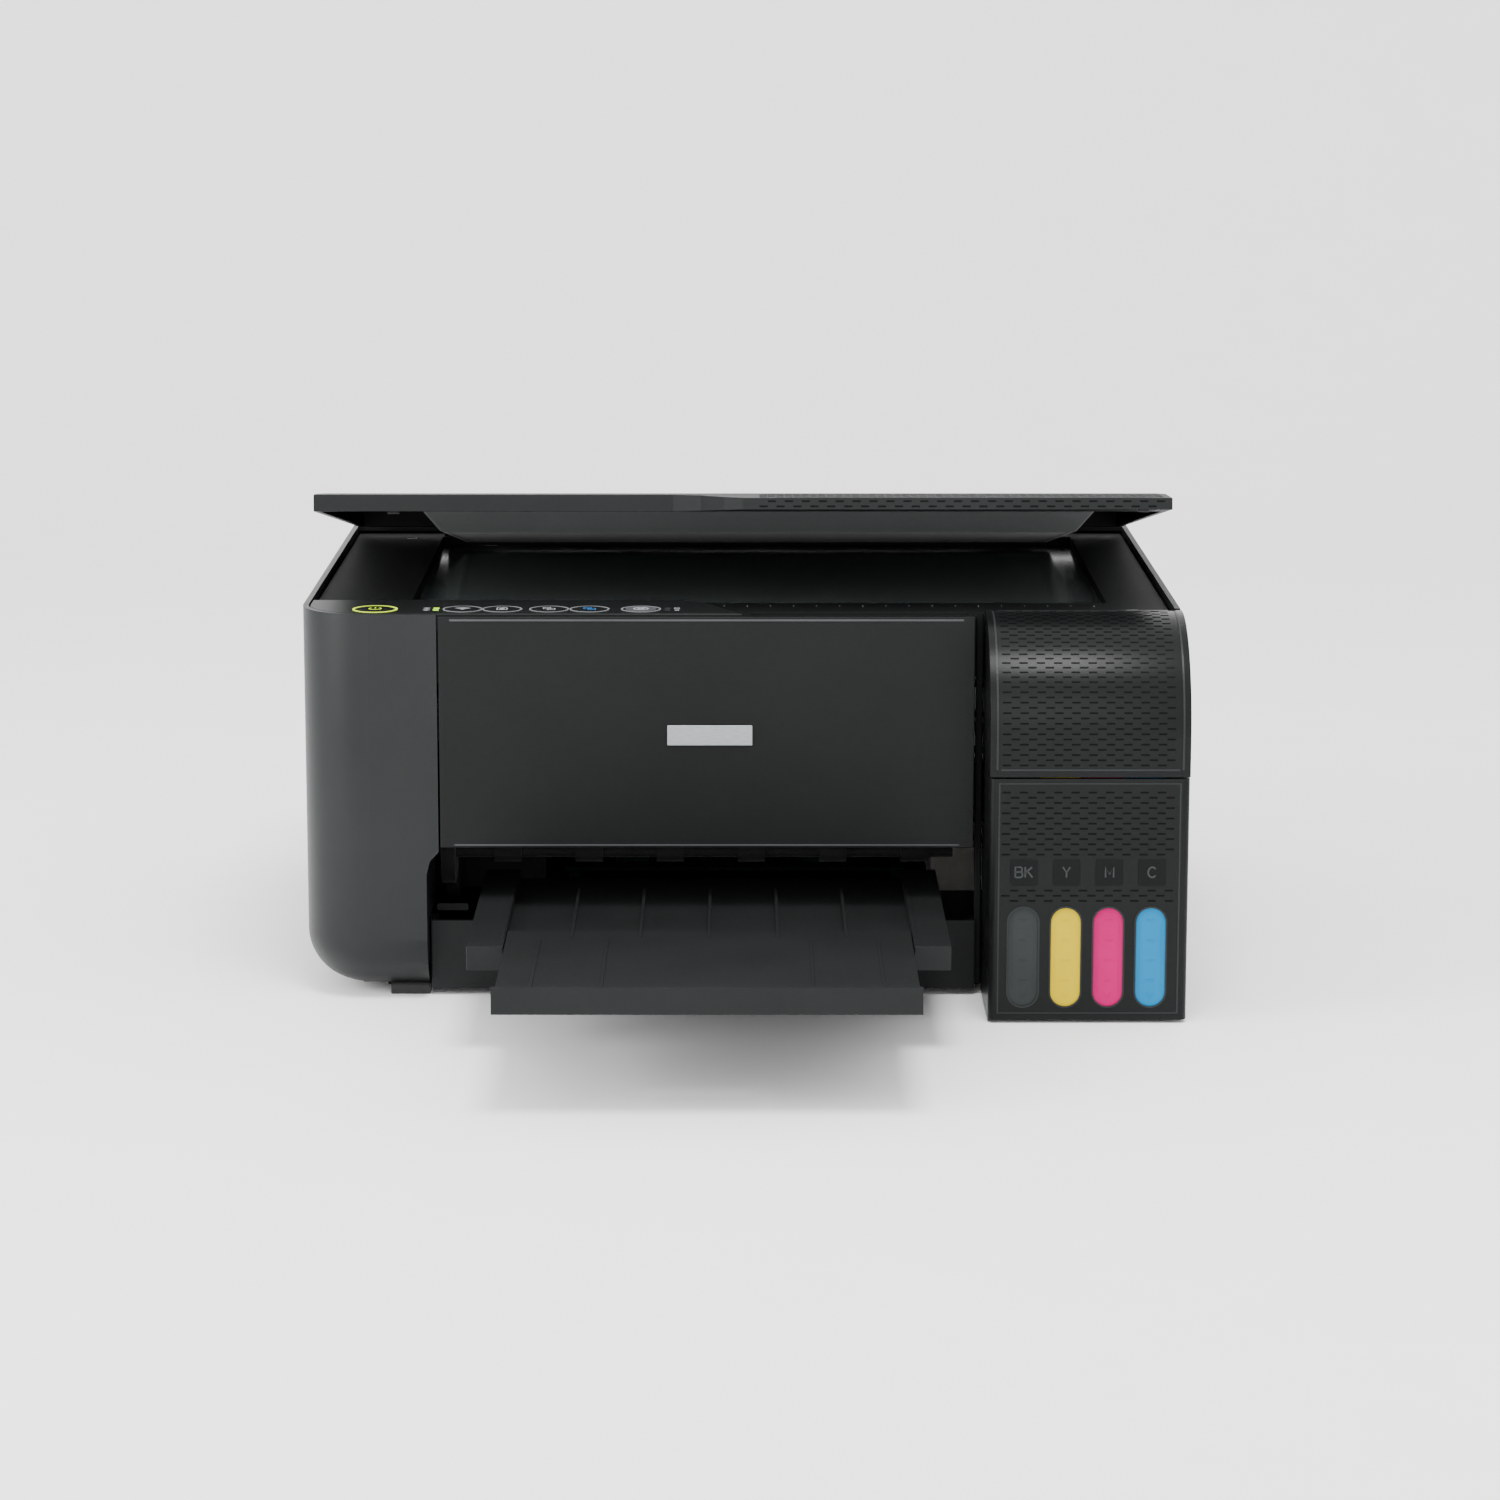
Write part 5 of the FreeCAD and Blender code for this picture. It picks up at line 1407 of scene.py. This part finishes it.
@dataclass
class PaperTrays:
    """The output tray, its extension and the stopper at its end."""

    path_centre: float = -13 * MM
    plate: float = 3.5 * MM
    arrow_reach: float = 24 * MM
    arrow_aside: float = 52 * MM
    extension_ribs: int = 6
    extension_rib: tuple[float, float, float] = (96 * MM, 1.2 * MM, 0.25 * MM)
    tray_ribs: int = 7
    tray_rib: tuple[float, float, float] = (100 * MM, 1.4 * MM, 0.3 * MM)
    tray_inset: float = 14 * MM
    stopper_ribs: int = 4
    stopper_rib: tuple[float, float, float] = (26 * MM, 0.9 * MM, 0.3 * MM)

    def build(self) -> None:
        """Dress the trays."""
        dress_all((("output_tray", Finish.TRAY, 0.4), ("tray_extension", Finish.TRAY, 0.5),
                   ("paper_stopper", Finish.TRAY, 0.5)))
        self.extension_detail()
        self.stopper_detail()
        self.tray_detail()

    def extension_detail(self) -> None:
        """Runner ribs and arrows on the extension."""
        low, high = corners("tray_extension")
        deck = low.z + self.plate
        places = []
        for number in range(self.extension_ribs):
            x = low.x + (high.x - low.x) * (number + 0.5) / self.extension_ribs
            if abs(x - self.path_centre) > self.arrow_reach:
                places.append(deck_place(x, low.y + 70 * MM, deck))
        ribs("extension_ribs", Finish.TRAY, Body.EXTENSION, places, self.extension_rib, 0.08 * MM)
        arrow = Shape()
        middle = (low.x + high.x) / 2
        for aside in (self.arrow_aside, -self.arrow_aside):
            place = top_place(middle + aside, low.y + 14 * MM, deck)
            arrow.stroke(in_mm(((-4, 0), (0, -4), (4, 0))), place, 0.8 * MM, 0.12 * MM)
        arrow.piece("extension_arrows", Finish.PRINT_DIM, Body.EXTENSION)

    def stopper_detail(self) -> None:
        """Grip ribs on the stopper."""
        low, high = corners("paper_stopper")
        middle = (low.x + high.x) / 2
        places = [top_place(middle, low.y + (4 + 2.4 * number) * MM, high.z)
                  for number in range(self.stopper_ribs)]
        ribs("stopper_ribs", Finish.TRAY, Body.STOPPER, places, self.stopper_rib, 0.06 * MM)

    def tray_detail(self) -> None:
        """Sheet runners moulded on the output tray."""
        low, high = corners("output_tray")
        left, across, last = low.x + self.tray_inset, high.x - low.x - 2 * self.tray_inset, self.tray_ribs - 1
        places = [deck_place(left + across * n / last, low.y + 62 * MM, high.z) for n in range(last + 1)]
        ribs("tray_ribs", Finish.TRAY, Body.TRAY, places, self.tray_rib, 0.08 * MM)


@dataclass
class PrintEngine:
    """Chassis, carriage, rollers and the parts on the floor of the case."""

    star_wheels: int = 6
    star_pitch: float = 36
    star_radius: float = 4.0 * MM
    star_y: float = -62 * MM
    path_centre: float = -13
    connectors: int = 6
    connector_pitch: float = 24

    def build(self) -> None:
        """Dress the works."""
        edge = 0.2
        dress_all((node, finish, edge) for node, finish in (
            ("main_frame", Finish.STEEL), ("carriage_belt", Finish.RUBBER), ("carriage_motor", Finish.STEEL),
            ("feed_motor", Finish.STEEL), ("platen", Finish.BLACK), ("capping_station", Finish.BLACK),
            ("waste_ink_pad", Finish.FELT), ("power_supply", Finish.GREY), ("main_board", Finish.CIRCUIT),
            ("ink_tubes", Finish.TUBE), ("star_wheel_frame", Finish.BLACK), ("print_carriage", Finish.BLACK),
            ("motor_pulley", Finish.GREY), ("idler_pulley", Finish.GREY), ("feed_pinion", Finish.GREY),
            ("feed_roller", Finish.SHAFT), ("eject_roller", Finish.RUBBER), ("idler_gear", Finish.GREY)))
        self.carriage_detail()
        self.star_holders()
        self.board_parts()

    def carriage_detail(self) -> None:
        """Latch plate on the print carriage."""
        low, high = corners("print_carriage")
        plate = Shape()
        place = front_place((low.x + high.x) / 2, low.y, (low.z + high.z) / 2 + 8 * MM)
        plate.rounded(place, 30 * MM, 14 * MM, 2 * MM, 0.6 * MM)
        plate.piece("carriage_latch", Finish.GREY, Body.CARRIAGE, 0.2 * MM)

    def star_holders(self) -> None:
        """Pale rims on the star wheels over the eject roller."""
        low = corners("star_wheel_frame")[0]
        rims = Shape()
        first = self.path_centre - self.star_pitch * (self.star_wheels - 1) / 2
        for number in range(self.star_wheels):
            x = (first + self.star_pitch * number) * MM
            for side in (-1, 1):
                at = Vector((x + side * 0.6 * MM, self.star_y, low.z + 5 * MM))
                place = (at, Y_AXIS, Z_AXIS * side, X_AXIS * side)
                rims.stroke(ring_path(self.star_radius, steps=20), place, 0.8 * MM, 0.15 * MM, True)
        rims.piece("star_wheel_rims", Finish.GREY, Body.BASE)

    def board_parts(self) -> None:
        """Connectors on the main board."""
        low, high = corners("main_board")
        parts = Shape()
        for number in range(self.connectors):
            x = low.x + (18 + self.connector_pitch * number) * MM
            place = top_place(x, high.y - 8 * MM, low.z + 5.6 * MM)
            parts.rounded(place, 15 * MM, 5 * MM, 0.5 * MM, 5 * MM)
        parts.piece("board_connectors", Finish.FELT, Body.BASE, 0.2 * MM)


@dataclass
class SheetFeeder:
    """Rear slope, its telescoping support, edge guide, guard and pickup roller."""

    rib_count: int = 3
    guard_rib: tuple[float, float, float] = (60 * MM, 0.8 * MM, 0.25 * MM)

    def build(self) -> None:
        """Dress the feeder."""
        dress_all((("feeder_frame", Finish.BLACK, 0.3), ("paper_support", Finish.CHARCOAL, 0.3),
                   ("paper_support_extension", Finish.CHARCOAL, 0.3), ("feeder_guard", Finish.CHARCOAL, 0.3),
                   ("edge_guide", Finish.GREY, 0.3), ("pickup_roller", Finish.RUBBER, 0.2)))
        self.guard_ribs()

    def guard_ribs(self) -> None:
        """Finger ribs along the guard's free edge."""
        low, high = corners("feeder_guard")
        middle = (low.x + high.x) / 2
        places = [top_place(middle, high.y - (2 + 2 * number) * MM, high.z)
                  for number in range(self.rib_count)]
        ribs("guard_ribs", Finish.CHARCOAL, Body.GUARD, places, self.guard_rib, 0.06 * MM)


def main() -> None:
    """Build every sub-assembly in order."""
    for part in (Studio(), Casework(), TankUnit(), ScannerUnit(), DocumentCover(), PaperTrays(),
                 PrintEngine(), SheetFeeder()):
        LOG.info("building %s", type(part).__name__)
        part.build()


if __name__ == "__main__":
    logging.basicConfig(level=logging.INFO, format="%(name)s: %(message)s")
    main()
